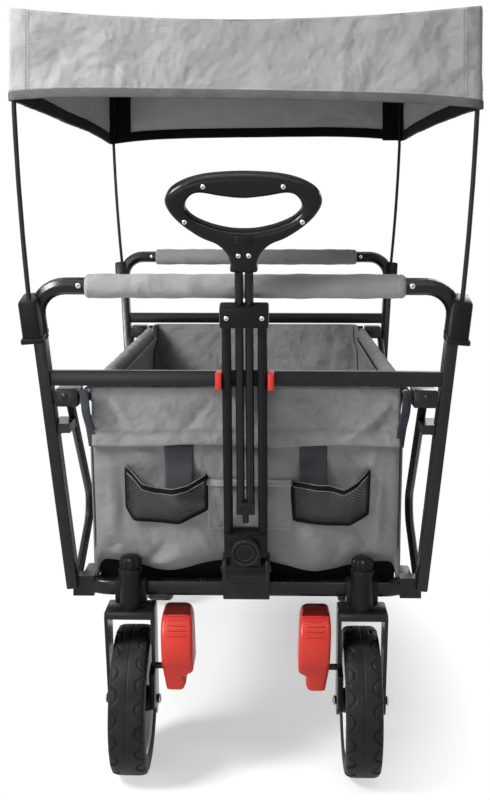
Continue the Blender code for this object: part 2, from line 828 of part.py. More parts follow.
def caster_housing(side_word):
    """Bearing housing of the swivel wheel, clamped to the front of the lower rail."""
    side = SIDES[side_word]
    x, y = side * FRONT_WHEEL_X, -CASTER_Y
    top = HOUSING_TOP_Z + HOUSING_CAP_HEIGHT
    body = rod(
        f"caster_housing_{side_word}",
        (x, y, HOUSING_BOTTOM_Z),
        (x, y, HOUSING_TOP_Z + 0.002),
        HOUSING_RADIUS,
        BLACK_PLASTIC,
        24,
    )
    cap = rod("housing_cap", (x, y, HOUSING_TOP_Z), (x, y, top), HOUSING_RADIUS * 1.1, steps=24)
    half = HOUSING_CLAMP_HEIGHT / 2
    z_range = (RAIL_Z - half, RAIL_Z + half)
    clamp = block("rail_clamp", x, HOUSING_CLAMP_WIDTH, (y, -RAIL_END_Y), z_range, bevel=0.003)
    join(body, cap, clamp)
    rail_room = tube("rail_room", rail_path(-1), RAIL_RADIUS + SEAT_GAP)
    stem_top = HOUSING_BOTTOM_Z + STEM_HEIGHT + 0.002
    stem_room = rod(
        "stem_room",
        (x, y, HOUSING_BOTTOM_Z - 0.01),
        (x, y, stem_top),
        STEM_RADIUS + RUNNING_GAP,
    )
    return cut(body, rail_room, stem_room)


def fork(side_word):
    """Swivel fork: stem, crown, two tapered legs, the axle and the pin of the brake pedal."""
    side = SIDES[side_word]
    x, y = side * FRONT_WHEEL_X, -CASTER_Y
    axle_y = -FRONT_WHEEL_Y
    crown_top = HOUSING_BOTTOM_Z - SEAT_GAP
    crown_low = crown_top - CROWN_THICKNESS
    body = block(
        f"fork_{side_word}",
        x,
        2 * FORK_HALF_WIDTH,
        (y - CROWN_AHEAD, y + CROWN_BEHIND),
        (crown_low, crown_top),
        BLACK_STEEL,
        0.003,
    )
    stem = rod("stem", (x, y, crown_low), (x, y, HOUSING_BOTTOM_Z + STEM_HEIGHT), STEM_RADIUS)
    join(body, stem)
    leg_top = crown_low + 0.004
    leg_outline = [(y - CROWN_AHEAD + 0.002, leg_top), (y + CROWN_BEHIND - 0.002, leg_top)]
    leg_outline += arc((axle_y, WHEEL_Z), AXLE_EYE_RADIUS, 20, -205, 10)
    for edge in (-1, 1):
        leg_x = x + edge * (FORK_HALF_WIDTH - FORK_LEG_THICKNESS / 2)
        leg = plate("fork_leg", [leg_outline], FORK_LEG_THICKNESS, turn=SIDEWAYS, at=(leg_x, 0, 0))
        join(body, leg)
    reach = FORK_HALF_WIDTH + 0.004
    axle = rod("axle", (x - reach, axle_y, WHEEL_Z), (x + reach, axle_y, WHEEL_Z), AXLE_RADIUS, steps=16)
    inner_leg = side * (FRONT_WHEEL_X - FORK_HALF_WIDTH)
    pin_end = inner_leg - side * (PEDAL_GAP + PEDAL_WIDTH - PEDAL_NOTCH_WIDTH)
    pin_root = inner_leg + side * FORK_LEG_THICKNESS / 2
    pivot = (-PEDAL_PIVOT_Y, PEDAL_PIVOT_Z)
    pin = rod("pedal_pin", (pin_root, *pivot), (pin_end, *pivot), PEDAL_PIN_RADIUS, steps=14)
    return join(body, axle, pin)


def brake_pedal(side_word):
    """Hollow pedal, open at the back, that turns on a pin beside the fork."""
    side = SIDES[side_word]
    outer = side * (FRONT_WHEEL_X - FORK_HALF_WIDTH - PEDAL_GAP)
    x = outer - side * PEDAL_WIDTH / 2
    front = -PEDAL_FRONT_Y
    back = front + PEDAL_DEPTH
    name = f"brake_pedal_{side_word}"
    outline = [
        (back, PEDAL_TOP_Z),
        (back, PEDAL_BOTTOM_Z),
        (front + 0.014, PEDAL_BOTTOM_Z),
        (front + 0.012, PEDAL_BOTTOM_Z + 0.018),
        (front, PEDAL_BOTTOM_Z + 0.026),
        (front - 0.003, PEDAL_TREAD_Z),
    ]
    body = plate(name, [outline], PEDAL_WIDTH, RED_PLASTIC, 0.003, SIDEWAYS, (x, 0, 0))
    wall = PEDAL_WALL
    room = block(
        "pedal_room",
        x,
        PEDAL_WIDTH - 2 * wall,
        (front + 0.016, back + 0.02),
        (PEDAL_BOTTOM_Z + wall, PEDAL_TREAD_Z),
    )
    half = PEDAL_WIDTH
    bore = rod(
        "pin_room",
        (x - half, -PEDAL_PIVOT_Y, PEDAL_PIVOT_Z),
        (x + half, -PEDAL_PIVOT_Y, PEDAL_PIVOT_Z),
        PEDAL_PIN_RADIUS + RUNNING_GAP,
        steps=14,
    )
    return cut(body, room, bore, pedal_notch(x - side * PEDAL_WIDTH / 2, side))


def pedal_notch(edge, side):
    """The step under the pedal's inner corner, with a slanted shoulder."""
    below, beyond = PEDAL_BOTTOM_Z - 0.01, edge - side * 0.01
    inner = edge + side * PEDAL_NOTCH_WIDTH
    shoulder = PEDAL_BOTTOM_Z + PEDAL_NOTCH_HEIGHT
    outline = [(beyond, below), (inner, below), (inner, shoulder), (beyond, shoulder + 0.020)]
    return plate("pedal_notch", [outline], 3 * PEDAL_DEPTH, turn=UPRIGHT, at=(0, -PEDAL_FRONT_Y, 0))


def wheel_centre(word, side_word):
    side = SIDES[side_word]
    if word == "front":
        return Vector((side * FRONT_WHEEL_X, -FRONT_WHEEL_Y, WHEEL_Z))
    return Vector((side * REAR_WHEEL_X, REAR_WHEEL_Y, WHEEL_Z))


def tyre(word, centre):
    half = WHEEL_WIDTH / 2
    radius = WHEEL_RADIUS
    inner = TYRE_INNER_RADIUS + SEAT_GAP
    side_wall = [
        (radius, half * 0.45),
        (radius - 0.006, half * 0.9),
        (radius - 0.013, half),
        (inner, half * 0.85),
    ]
    profile = side_wall[:1] + [(r, -h) for r, h in side_wall] + side_wall[:0:-1]
    return turned(f"tyre_{word}", profile, TYRE_RUBBER, WHEEL_STEPS, centre, (1, 0, 0))


def rim(word, centre):
    outer, lip, web = TYRE_INNER_RADIUS, 0.007, 0.004
    half, hub_half = WHEEL_WIDTH / 2 * 0.85, HUB_LENGTH / 2
    bore = AXLE_RADIUS + RUNNING_GAP
    upper = [
        (bore, hub_half),
        (HUB_RADIUS, hub_half),
        (HUB_RADIUS + 0.003, web),
        (outer - lip, web),
        (outer - lip, half),
        (outer, half),
    ]
    lower = [(r, -h) for r, h in reversed(upper)]
    return turned(f"rim_{word}", upper + lower, RIM_PLASTIC, WHEEL_STEPS, centre, (1, 0, 0))


def rear_axle():
    """The rear axle and its two hangers, clamped to the rear of the lower rail."""
    reach = REAR_WHEEL_X + HUB_LENGTH / 2 + 0.004
    axle = rod(
        "rear_axle",
        (-reach, REAR_WHEEL_Y, WHEEL_Z),
        (reach, REAR_WHEEL_Y, WHEEL_Z),
        AXLE_RADIUS,
        BLACK_STEEL,
        16,
    )
    hanger_x = REAR_WHEEL_X - HUB_LENGTH / 2 - HANGER_THICKNESS
    for side in SIDES.values():
        hanger = block(
            "axle_hanger",
            side * hanger_x,
            HANGER_THICKNESS,
            (REAR_WHEEL_Y - HANGER_LENGTH / 2, REAR_WHEEL_Y + HANGER_LENGTH / 2),
            (WHEEL_Z - 0.014, RAIL_Z + 0.002),
            bevel=0.003,
        )
        join(axle, hanger)
    tie_end = hanger_x - HANGER_THICKNESS / 2 + 0.002
    left, right = (-tie_end, REAR_WHEEL_Y, WHEEL_Z), (tie_end, REAR_WHEEL_Y, WHEEL_Z)
    join(axle, rod("axle_tube", left, right, AXLE_TUBE_RADIUS))
    return cut(axle, tube("rail_room", rail_path(1), RAIL_RADIUS + SEAT_GAP))


# Pull handle, made upright in its own plane and then leaned forward


def lean_forward(*objects):
    for obj in objects:
        obj.matrix_world = HANDLE_FRAME @ obj.matrix_world
        for step in obj.modifiers:
            if step.type == "BOOLEAN":
                step.object.matrix_world = HANDLE_FRAME @ step.object.matrix_world
    return objects[0]


def handle_outer_frame():
    """Two outer tubes in a hinge foot with a round hub and a barrel for the hinge pin."""
    foot = box(
        "handle_outer_frame",
        (-FOOT_WIDTH / 2, -FOOT_DEPTH / 2, FOOT_LOW),
        (FOOT_WIDTH / 2, FOOT_DEPTH / 2, FOOT_HIGH),
        BLACK_PLASTIC,
        0.003,
    )
    web = box("foot_web", (-0.019, -0.008, 0), (0.019, 0.008, FOOT_LOW + 0.006))
    barrel = rod("barrel", (-BARREL_HALF_LENGTH, 0, 0), (BARREL_HALF_LENGTH, 0, 0), BARREL_RADIUS, steps=24)
    middle = (FOOT_LOW + FOOT_HIGH) / 2
    disc = rod(
        "hub_disc",
        (0, 0, middle),
        (0, -FOOT_DEPTH / 2 - HUB_DISC_HEIGHT, middle),
        HUB_DISC_RADIUS,
        steps=24,
    )
    join(foot, web, barrel, disc)
    for side in SIDES.values():
        x = side * OUTER_TUBE_X
        low, high = (x, 0, FOOT_LOW + 0.006), (x, 0, OUTER_TUBE_HIGH)
        join(foot, rod("outer_tube", low, high, OUTER_TUBE_RADIUS, steps=16))
    reach = BARREL_HALF_LENGTH + 0.01
    cut(foot, rod("barrel_bore", (-reach, 0, 0), (reach, 0, 0), HANDLE_PIN_RADIUS + RUNNING_GAP))
    return lean_forward(foot)


def handle_clamp():
    body = box(
        "handle_clamp",
        (-CLAMP_WIDTH / 2, -CLAMP_DEPTH / 2, CLAMP_LOW),
        (CLAMP_WIDTH / 2, CLAMP_DEPTH / 2, CLAMP_HIGH),
        BLACK_PLASTIC,
        0.003,
    )
    tools = []
    below, above = CLAMP_LOW - 0.01, CLAMP_HIGH + 0.01
    for side in SIDES.values():
        x = side * OUTER_TUBE_X
        low, high = (x, 0, below), (x, 0, OUTER_TUBE_HIGH + SEAT_GAP)
        tools.append(rod("outer_room", low, high, OUTER_TUBE_RADIUS + SEAT_GAP))
        x = side * INNER_TUBE_X
        low, high = (x, 0, below), (x, 0, above)
        tools.append(rod("inner_room", low, high, INNER_TUBE_RADIUS + RUNNING_GAP))
    return lean_forward(cut(body, *tools))


def handle_inner_frame():
    """Two sliding tubes on a block that runs between the outer tubes."""
    half = INNER_TUBE_X * 1.9
    slider = box(
        "handle_inner_frame",
        (-half, -SLIDER_DEPTH / 2, SLIDER_LOW),
        (half, SLIDER_DEPTH / 2, SLIDER_HIGH),
        BLACK_STEEL,
        0.0015,
    )
    for side in SIDES.values():
        x = side * INNER_TUBE_X
        tube_low, tube_high = (x, 0, SLIDER_HIGH - 0.004), (x, 0, GRIP_NECK_LOW - SEAT_GAP)
        join(slider, rod("inner_tube", tube_low, tube_high, INNER_TUBE_RADIUS, steps=16))
    root, tip = (0, 0, SLIDER_LOW + 0.003), (0, 0, SLIDER_LOW - SLIDER_STEM_LENGTH)
    join(slider, rod("slider_stem", root, tip, SLIDER_STEM_RADIUS, steps=12))
    return lean_forward(slider)


def loop(half, steps=3):
    """A smooth closed outline from the points of its right half, which run down from the middle."""
    points = half + [(-x, y) for x, y in reversed(half) if abs(x) > 1e-6]
    count = len(points)
    made = []
    for index in range(count):
        before, start, end, after = [Vector(points[(index + k) % count]) for k in (-1, 0, 1, 2)]
        for step in range(steps):
            t = step / steps
            made.append(
                tuple(
                    0.5
                    * (
                        2 * start
                        + (end - before) * t
                        + (2 * before - 5 * start + 4 * end - after) * t**2
                        + (3 * start - before - 3 * end + after) * t**3
                    )
                )
            )
    return made


GRIP_OUTER = [
    (0, 0.5267),
    (0.030, 0.5255),
    (0.053, 0.5222),
    (0.073, 0.5155),
    (0.0874, 0.5055),
    (0.0929, 0.4925),
    (0.0870, 0.4779),
    (0.0734, 0.4632),
    (0.0517, 0.4480),
    (0.0318, 0.4390),
    (0.0207, 0.4276),
    (0.0160, 0.4151),
    (0.0145, GRIP_NECK_LOW),
]
GRIP_HOLE = [
    (0, 0.4960),
    (0.026, 0.4985),
    (0.0517, 0.5025),
    (0.0640, 0.4975),
    (0.0688, 0.4846),
    (0.0600, 0.4727),
    (0.0400, 0.4630),
    (0.0180, 0.4575),
    (0, 0.4562),
]


def handle_grip():
    """The loop grip with its neck, and the pocket of the release button."""
    outlines = [loop(GRIP_OUTER), loop(GRIP_HOLE)]
    grip = plate("handle_grip", outlines, GRIP_THICKNESS, BLACK_PLASTIC, GRIP_EDGE / 2, UPRIGHT)
    half = BUTTON_WIDTH / 2 + RUNNING_GAP
    height = BUTTON_HEIGHT / 2 + RUNNING_GAP
    front = -GRIP_THICKNESS / 2
    depth = BUTTON_THICKNESS + BUTTON_TRAVEL - BUTTON_PROUD + RUNNING_GAP
    pocket = box(
        "button_pocket",
        (-half, front - 0.01, BUTTON_CENTRE - height),
        (half, front + depth, BUTTON_CENTRE + height),
    )
    below = box("neck_trim", (-0.04, -0.03, GRIP_NECK_LOW - 0.03), (0.04, 0.03, GRIP_NECK_LOW))
    return lean_forward(cut(grip, pocket, below))


def handle_button():
    front = -GRIP_THICKNESS / 2 - BUTTON_PROUD
    half, height = BUTTON_WIDTH / 2, BUTTON_HEIGHT / 2
    return lean_forward(
        box(
            "handle_button",
            (-half, front, BUTTON_CENTRE - height),
            (half, front + BUTTON_THICKNESS, BUTTON_CENTRE + height),
            BLACK_PLASTIC,
            0.0015,
        )
    )


def handle_bracket():
    """Plate on the front of the lower rail, two ears and the hinge pin of the handle."""
    half = BARREL_HALF_LENGTH + RUNNING_GAP + EAR_THICKNESS
    rail_front = -(RAIL_END_Y + RAIL_RADIUS)
    plate_front = rail_front - SEAT_GAP - BRACKET_PLATE
    low_z, high_z = RAIL_Z - 0.012, HANDLE_PIVOT_Z + 0.016
    body = box(
        "handle_bracket",
        (-half, plate_front, low_z),
        (half, rail_front - SEAT_GAP, high_z),
        BLACK_STEEL,
        0.0015,
    )
    for side in SIDES.values():
        x = side * (half - EAR_THICKNESS / 2)
        ear = block(
            "ear",
            x,
            EAR_THICKNESS,
            (-HANDLE_PIVOT_Y - BARREL_RADIUS, plate_front + 0.002),
            (HANDLE_PIVOT_Z - EAR_HEIGHT / 2, HANDLE_PIVOT_Z + EAR_HEIGHT / 2),
            bevel=0.001,
        )
        join(body, ear)
    pivot, reach = (-HANDLE_PIVOT_Y, HANDLE_PIVOT_Z), half + 0.002
    pin = rod("handle_pin", (-reach, *pivot), (reach, *pivot), HANDLE_PIN_RADIUS, steps=16)
    return join(body, pin)


def handle_clip():
    """The red clip on the crossbar that holds the upright handle between two jaws."""
    bar_front = -(post_y(CROSSBAR_Z) + CROSSBAR_DEPTH / 2)
    back = bar_front - SEAT_GAP
    low_z, high_z = CROSSBAR_Z - CLIP_LOW, CROSSBAR_Z + CLIP_HIGH
    inner = OUTER_TUBE_X + OUTER_TUBE_RADIUS + RUNNING_GAP
    outer = inner + JAW_THICKNESS
    body = box("handle_clip", (-outer, back - CLIP_BACK, low_z), (outer, back, high_z), RED_PLASTIC, 0.0015)
    for side in SIDES.values():
        tip, root = (side * inner, back - JAW_LENGTH, low_z), (side * outer, back - CLIP_BACK / 2, high_z)
        join(body, box("jaw", tip, root, bevel=0.0015))
    return body


# Bag


def wall_y(z):
    """Middle of a bag end wall, just inside the line of the posts."""
    return post_y(z) - WALL_INSET


def end_wall(word):
    """An end wall of the bag, hung under the crossbar, with flap and net pockets at the front."""
    end = ENDS[word]
    top = CROSSBAR_Z - CROSSBAR_HEIGHT / 2 - CLOTH_GAP
    low = BAG_FLOOR_Z
    shade = GREY_FABRIC

    def panel(name, half, z_low, z_high, depth, out, bevel=0.0):
        start = Vector((0, end * (wall_y(z_low) + out), z_low))
        stop = Vector((0, end * (wall_y(z_high) + out), z_high))
        return bar(name, start, stop, 2 * half, depth, shade, bevel)

    wall = panel(f"bag_{word}_wall", BAG_HALF_WIDTH, low + SEAT_GAP, top - SEAT_GAP, BAG_WALL, 0)
    if end > 0:
        return wall
    flap = panel("flap", BAG_HALF_WIDTH - 0.0005, top - FLAP_DROP, top - 0.001, FLAP_THICKNESS, 0.003, 0.001)
    join(wall, flap)
    for side in SIDES.values():
        half, low_z, high_z = NET_POCKET_WIDTH / 2, NET_POCKET_LOW_Z, NET_POCKET_HIGH_Z
        pocket = panel("net_pocket", half, low_z, high_z, 2 * NET_POCKET_BULGE, 0, 0.006)
        pocket.matrix_world = Matrix.Translation((side * NET_POCKET_X, 0, 0)) @ pocket.matrix_world
        join(wall, pocket)
    behind = panel("wall_back", BAG_HALF_WIDTH + 0.01, low - 0.02, top + 0.02, 0.08, -0.04 - BAG_WALL / 2)
    return cut(wall, behind)


def bag_side(side_word):
    """A side wall with straight top edge and a bulging outside pocket."""
    side = SIDES[side_word]
    high = SIDE_RAIL_Z + SIDE_RAIL_RADIUS * 0.8
    low = BAG_FLOOR_Z
    high_y, low_y = wall_y(high) - SIDE_WALL_END_GAP, wall_y(low) - SIDE_WALL_END_GAP
    outline = [(-high_y, high), (high_y, high), (low_y, low), (-low_y, low)]
    outer = SIDE_RAIL_X - SIDE_RAIL_RADIUS - CLOTH_GAP
    x = side * (outer - BAG_WALL / 2)
    wall = plate(f"bag_side_{side_word}", [outline], BAG_WALL, GREY_FABRIC, 0, SIDEWAYS, (x, 0, 0))
    pocket = block(
        "side_pocket",
        side * (outer - BAG_WALL / 2 + SIDE_POCKET_BULGE / 2),
        SIDE_POCKET_BULGE,
        (-SIDE_POCKET_FRONT_Y, SIDE_POCKET_REAR_Y),
        (SIDE_POCKET_LOW_Z, SIDE_POCKET_HIGH_Z),
        bevel=0.012,
    )
    return join(wall, pocket)


# Canopy


def roof_z(x, y):
    across, along = x / CANOPY_HALF_WIDTH, y / CANOPY_HALF_LENGTH
    return CANOPY_CORNER_Z - CANOPY_SAG * (1 - across**2) - CANOPY_SAG * (1 - along**2)


def valance_z(x, y):
    """Height of the valance's lower edge, which rises a little between the corners."""
    across, along = x / CANOPY_HALF_WIDTH, y / CANOPY_HALF_LENGTH
    return CANOPY_CORNER_Z - CANOPY_DROP + CANOPY_DROP_RISE * ((1 - across**2) + (1 - along**2))


def canopy_roof():
    """A tight roof that sags between its four corners, with a valance all round."""
    bm = bmesh.new()
    bmesh.ops.create_grid(bm, x_segments=8, y_segments=10, size=1)
    for vert in bm.verts:
        x, y = vert.co.x * CANOPY_HALF_WIDTH, vert.co.y * CANOPY_HALF_LENGTH
        vert.co = (x, y, roof_z(x, y))
    rim_edges = [edge for edge in bm.edges if edge.is_boundary]
    made = bmesh.ops.extrude_edge_only(bm, edges=rim_edges)
    for vert in (item for item in made["geom"] if isinstance(item, bmesh.types.BMVert)):
        vert.co.z = valance_z(vert.co.x, vert.co.y)
    bmesh.ops.recalc_face_normals(bm, faces=bm.faces)
    roof = add_mesh("canopy_roof", bm, GREY_FABRIC)
    wall = roof.modifiers.new("cloth", "SOLIDIFY")
    wall.thickness = CANOPY_WALL
    wall.offset = -1
    wall.use_even_offset = True
    return smooth(roof, 30)


def canopy_pole(word, side_word):
    path = pole_path(SIDES[side_word], ENDS[word])
    return tube(f"canopy_pole_{word}_{side_word}", path, POLE_RADIUS, BLACK_STEEL)


# Assembly: an empty on each joint's axis carries the pieces that turn or slide there

PLACES = {}


def joint(name, place, parent=None):
    made = bpy.data.objects.new(name, None)
    PARTS.objects.link(made)
    made.empty_display_size = 0.03
    made.location = place
    PLACES[made] = Vector(place)
    if parent:
        carry(parent, made)
    return made


def carry(parent, *objects):
    """Hangs objects, and the tools that shape them, on a joint without moving them."""
    for obj in objects:
        obj.parent = parent
        obj.location -= PLACES[parent]
        carry(parent, *(step.object for step in obj.modifiers if step.type == "BOOLEAN"))


def build_end(word, holder):
    pieces = [end_frame(word), lower_rail(word), push_bar(word), grip_sleeve(word), end_wall(word)]
    for side_word in SIDES:
        pieces += [maker(word, side_word) for maker in (socket, top_bracket, stay, canopy_pole)]
    carry(holder, *pieces)


def build_wheel(word, centre, holder):
    spin = joint(f"spin_{word}", centre, holder)
    carry(spin, tyre(word, centre), rim(word, centre))


def build_caster(side_word, holder):
    side = SIDES[side_word]
    carry(holder, caster_housing(side_word))
    swivel = joint(f"swivel_{side_word}", (side * FRONT_WHEEL_X, -CASTER_Y, HOUSING_BOTTOM_Z), holder)
    carry(swivel, fork(side_word))
    pedal = joint(f"pedal_{side_word}", (side * FRONT_WHEEL_X, -PEDAL_PIVOT_Y, PEDAL_PIVOT_Z), swivel)
    carry(pedal, brake_pedal(side_word))
    build_wheel(f"front_{side_word}", wheel_centre("front", side_word), swivel)


def build_handle(holder):
    carry(holder, handle_bracket(), handle_clip())
    pivot = (0, -HANDLE_PIVOT_Y, HANDLE_PIVOT_Z)
    tilt = joint("handle_tilt", pivot, holder)
    carry(tilt, handle_outer_frame(), handle_clamp())
    extend = joint("handle_extend", pivot, tilt)
    carry(extend, handle_inner_frame(), handle_grip())
    press = joint("button_press", HANDLE_FRAME @ Vector((0, 0, BUTTON_CENTRE)), extend)
    carry(press, handle_button())


def build_middle(holder):
    """The folding base and side rails. Returns the joint that carries the rear end."""
    fold = joint("fold", (0, -BASE_PIVOT_Y, RAIL_Z), holder)
    carry(fold, base_half("front"), floor_pad("front"))
    centre = joint("base_centre", (0, 0, RAIL_Z), fold)
    carry(centre, base_half("rear"), floor_pad("rear"))
    rails_front = joint("side_rails_front", (0, -SIDE_RAIL_PIVOT_Y, SIDE_RAIL_Z), holder)
    rails_rear = joint("side_rails_rear", (0, 0, SIDE_RAIL_Z), rails_front)
    for side_word in SIDES:
        carry(rails_front, side_rail("front", side_word))
        carry(rails_rear, side_rail("rear", side_word))
    return joint("rear_pivot", (0, BASE_PIVOT_Y, RAIL_Z), centre)


def reach_along_y():
    """The lowest and highest Y of the finished pieces."""
    bpy.context.view_layer.update()
    graph = bpy.context.evaluated_depsgraph_get()
    found = []
    for obj in PARTS.objects:
        if obj.type == "MESH":
            shape = obj.evaluated_get(graph)
            found += [(shape.matrix_world @ vert.co).y for vert in shape.data.vertices]
    return min(found), max(found)


def build():
    """Makes the wagon, with its origin on the ground under the middle of its whole length."""
    wagon = joint("wagon", (0, 0, 0))
    build_end("front", wagon)
    carry(wagon, canopy_roof(), *(bag_side(side_word) for side_word in SIDES))
    build_handle(wagon)
    rear = build_middle(wagon)
    build_end("rear", rear)
    carry(rear, rear_axle())
    for side_word in SIDES:
        build_caster(side_word, wagon)
        build_wheel(f"rear_{side_word}", wheel_centre("rear", side_word), rear)
    wagon.location.y = -sum(reach_along_y()) / 2
    print("shift along Y:", round(wagon.location.y, 6))


build()
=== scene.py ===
import json
import math
from contextlib import contextmanager

import bmesh
import bpy
import numpy as np
from bpy.props import FloatProperty, FloatVectorProperty, PointerProperty
from mathutils import Matrix, Vector
from mathutils.bvhtree import BVHTree

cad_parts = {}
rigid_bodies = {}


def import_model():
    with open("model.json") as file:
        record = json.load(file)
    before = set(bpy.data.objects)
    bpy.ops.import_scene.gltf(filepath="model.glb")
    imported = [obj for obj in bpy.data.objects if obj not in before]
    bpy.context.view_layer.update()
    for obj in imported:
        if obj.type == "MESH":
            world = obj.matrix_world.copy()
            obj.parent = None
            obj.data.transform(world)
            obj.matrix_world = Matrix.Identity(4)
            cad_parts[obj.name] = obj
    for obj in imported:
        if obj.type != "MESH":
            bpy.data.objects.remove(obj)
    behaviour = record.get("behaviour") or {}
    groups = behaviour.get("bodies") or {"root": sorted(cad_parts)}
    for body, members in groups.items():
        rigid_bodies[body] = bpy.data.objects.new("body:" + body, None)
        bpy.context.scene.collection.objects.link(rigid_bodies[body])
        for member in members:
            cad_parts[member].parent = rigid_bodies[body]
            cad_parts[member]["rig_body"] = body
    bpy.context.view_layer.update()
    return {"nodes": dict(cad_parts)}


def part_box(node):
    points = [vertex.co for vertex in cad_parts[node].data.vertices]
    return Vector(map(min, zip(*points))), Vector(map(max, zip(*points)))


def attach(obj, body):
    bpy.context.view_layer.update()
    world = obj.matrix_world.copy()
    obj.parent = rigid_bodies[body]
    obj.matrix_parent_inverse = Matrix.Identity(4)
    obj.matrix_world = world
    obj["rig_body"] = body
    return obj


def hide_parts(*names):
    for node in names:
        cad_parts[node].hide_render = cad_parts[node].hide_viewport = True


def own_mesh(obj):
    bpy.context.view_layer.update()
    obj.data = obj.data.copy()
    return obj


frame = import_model()

bl_info = {
    "name": "Folding Wagon Looks",
    "version": (1, 0, 0),
    "blender": (4, 5, 0),
    "location": "View3D > Sidebar > Wagon",
    "description": "Cloth, steel, plastic and rubber for the folding wagon",
    "category": "Object",
}

# Sizes the pieces share with the frame, in metres
ROOF_LOW, ROOF_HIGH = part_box("canopy_roof")
MIDDLE_Y = (ROOF_LOW.y + ROOF_HIGH.y) / 2
POST_FOOT_Y = 0.348
POST_FOOT_Z = 0.245
POST_LEAN_Y = 0.2347
RAIL_X = 0.2035
RAIL_Z = 0.503
CASTER_X = 0.15
CASTER_Y = MIDDLE_Y - 0.376
HANDLE_PIVOT = Vector((0, MIDDLE_Y - 0.381, 0.278))
HANDLE_LEAN = math.radians(15.5)
ENDS = (("front", -1), ("rear", 1))
SIDES = (("left", -1), ("right", 1))

# Materials, filled once by the finishes operator
FINISH = {}


def colour_of(name, description, default):
    return FloatVectorProperty(name=name, description=description, subtype="COLOR", size=3, min=0, max=1,
                               default=default)


def length_of(name, description, default, low, high):
    return FloatProperty(name=name, description=description, subtype="DISTANCE", unit="LENGTH",
                         default=default, min=low, max=high)


class WagonCloth(bpy.types.PropertyGroup):
    """Colours and sizes of the woven cloth."""

    colour: colour_of("Cloth colour", "Colour of the outer cloth", (0.232, 0.232, 0.235))
    trim: colour_of("Trim colour", "Colour of tapes and straps", (0.0045, 0.0045, 0.005))
    thread_pitch: length_of("Thread pitch", "Distance from one thread to the next", 0.0008, 0.0002, 0.005)
    crease_depth: length_of("Crease depth", "How deep the creases of the cloth are", 0.016, 0, 0.03)
    stitch_pitch: length_of("Stitch pitch", "Distance from one stitch to the next", 0.0042, 0.001, 0.02)


class WagonFrame(bpy.types.PropertyGroup):
    """Colours and edge sizes of the steel and plastic."""

    steel: colour_of("Steel colour", "Colour of the powder coat", (0.0045, 0.0045, 0.005))
    plastic: colour_of("Plastic colour", "Colour of the black plastic", (0.005, 0.005, 0.0056))
    red: colour_of("Red colour", "Colour of the pedals and the clip", (0.37, 0.019, 0.012))
    edge_radius: length_of("Edge radius", "Rounding of steel and plastic edges", 0.0011, 0.0002, 0.004)


class WagonWheel(bpy.types.PropertyGroup):
    """Tread and colours of the wheels."""

    rubber: colour_of("Rubber colour", "Colour of the tyres", (0.01, 0.0102, 0.0108))
    rim: colour_of("Rim colour", "Colour of the rims", (0.55, 0.55, 0.56))
    groove_depth: length_of("Groove depth", "Depth of the wavy grooves", 0.0026, 0, 0.005)
    groove_count: FloatProperty(
        name="Waves", description="Waves round the tyre", default=20, min=4, max=60)


class WagonLooks(bpy.types.PropertyGroup):
    """All that a user may change."""

    cloth: PointerProperty(type=WagonCloth, name="Cloth", description="Cloth of bag and canopy")
    frame: PointerProperty(type=WagonFrame, name="Frame", description="Steel and plastic")
    wheel: PointerProperty(type=WagonWheel, name="Wheels", description="Tyres and rims")


class Net:
    """Adds nodes to a tree, with sockets or plain values as inputs."""

    def __init__(self, tree):
        self.tree = tree

    def add(self, kind, inputs=None, **settings):
        node = self.tree.nodes.new(kind)
        for key, value in settings.items():
            setattr(node, key, value)
        for key, value in (inputs or {}).items():
            self.feed(node.inputs[key], value)
        return node

    def feed(self, socket, value):
        if isinstance(value, bpy.types.NodeSocket):
            self.tree.links.new(value, socket)
        elif value is not None:
            socket.default_value = value

    def math(self, operation, first, second=None, clamp=False):
        node = self.add("ShaderNodeMath", {0: first, 1: second}, operation=operation, use_clamp=clamp)
        return node.outputs[0]

    def times(self, first, second):
        return self.math("MULTIPLY", first, second)

    def plus(self, first, second):
        return self.math("ADD", first, second)

    def vector(self, operation, first, second=None, scale=None):
        inputs = {0: first, 1: second}
        if scale is not None:
            inputs["Scale"] = scale
        return self.add("ShaderNodeVectorMath", inputs, operation=operation).outputs["Vector"]

    def mix(self, share, first, second):
        return self.add("ShaderNodeMix", {0: share, 6: first, 7: second}, data_type="RGBA").outputs[2]

    def blend(self, share, first, second):
        return self.add("ShaderNodeMix", {0: share, 2: first, 3: second}, data_type="FLOAT").outputs[0]

    def noise(self, vector, scale, detail=3.0, roughness=0.55):
        node = self.add("ShaderNodeTexNoise", {
            "Vector": vector, "Scale": scale, "Detail": detail, "Roughness": roughness})
        return node.outputs[0]

    def spread(self, value, low, high, out_low=0.0, out_high=1.0):
        entries = dict(enumerate((value, low, high, out_low, out_high)))
        return self.add("ShaderNodeMapRange", entries).outputs[0]

    def scaled(self, vector, scale):
        return self.vector("SCALE", vector, scale=scale)

    def give(self, leave, *values):
        """Feeds the output sockets in their order and returns the tree."""
        for socket, value in zip(leave, values):
            self.feed(socket, value)
        return self.tree

    def voronoi(self, vector, scale):
        inputs = {"Vector": vector, "Scale": scale}
        return self.add("ShaderNodeTexVoronoi", inputs).outputs["Distance"]

    def geometry(self, output):
        return self.add("ShaderNodeNewGeometry").outputs[output]


NUMBER = "NodeSocketFloat"
COLOUR = "NodeSocketColor"
VECTOR = "NodeSocketVector"
MATERIAL = "NodeSocketMaterial"
GEOMETRY = "NodeSocketGeometry"
PLACE_IN = ("Vector", VECTOR, (0, 0, 0))
COLOUR_IN = ("Colour", COLOUR, (0, 0, 0, 1))
FINISH_OUT = (("Colour", COLOUR), ("Roughness", NUMBER), ("Height", NUMBER))


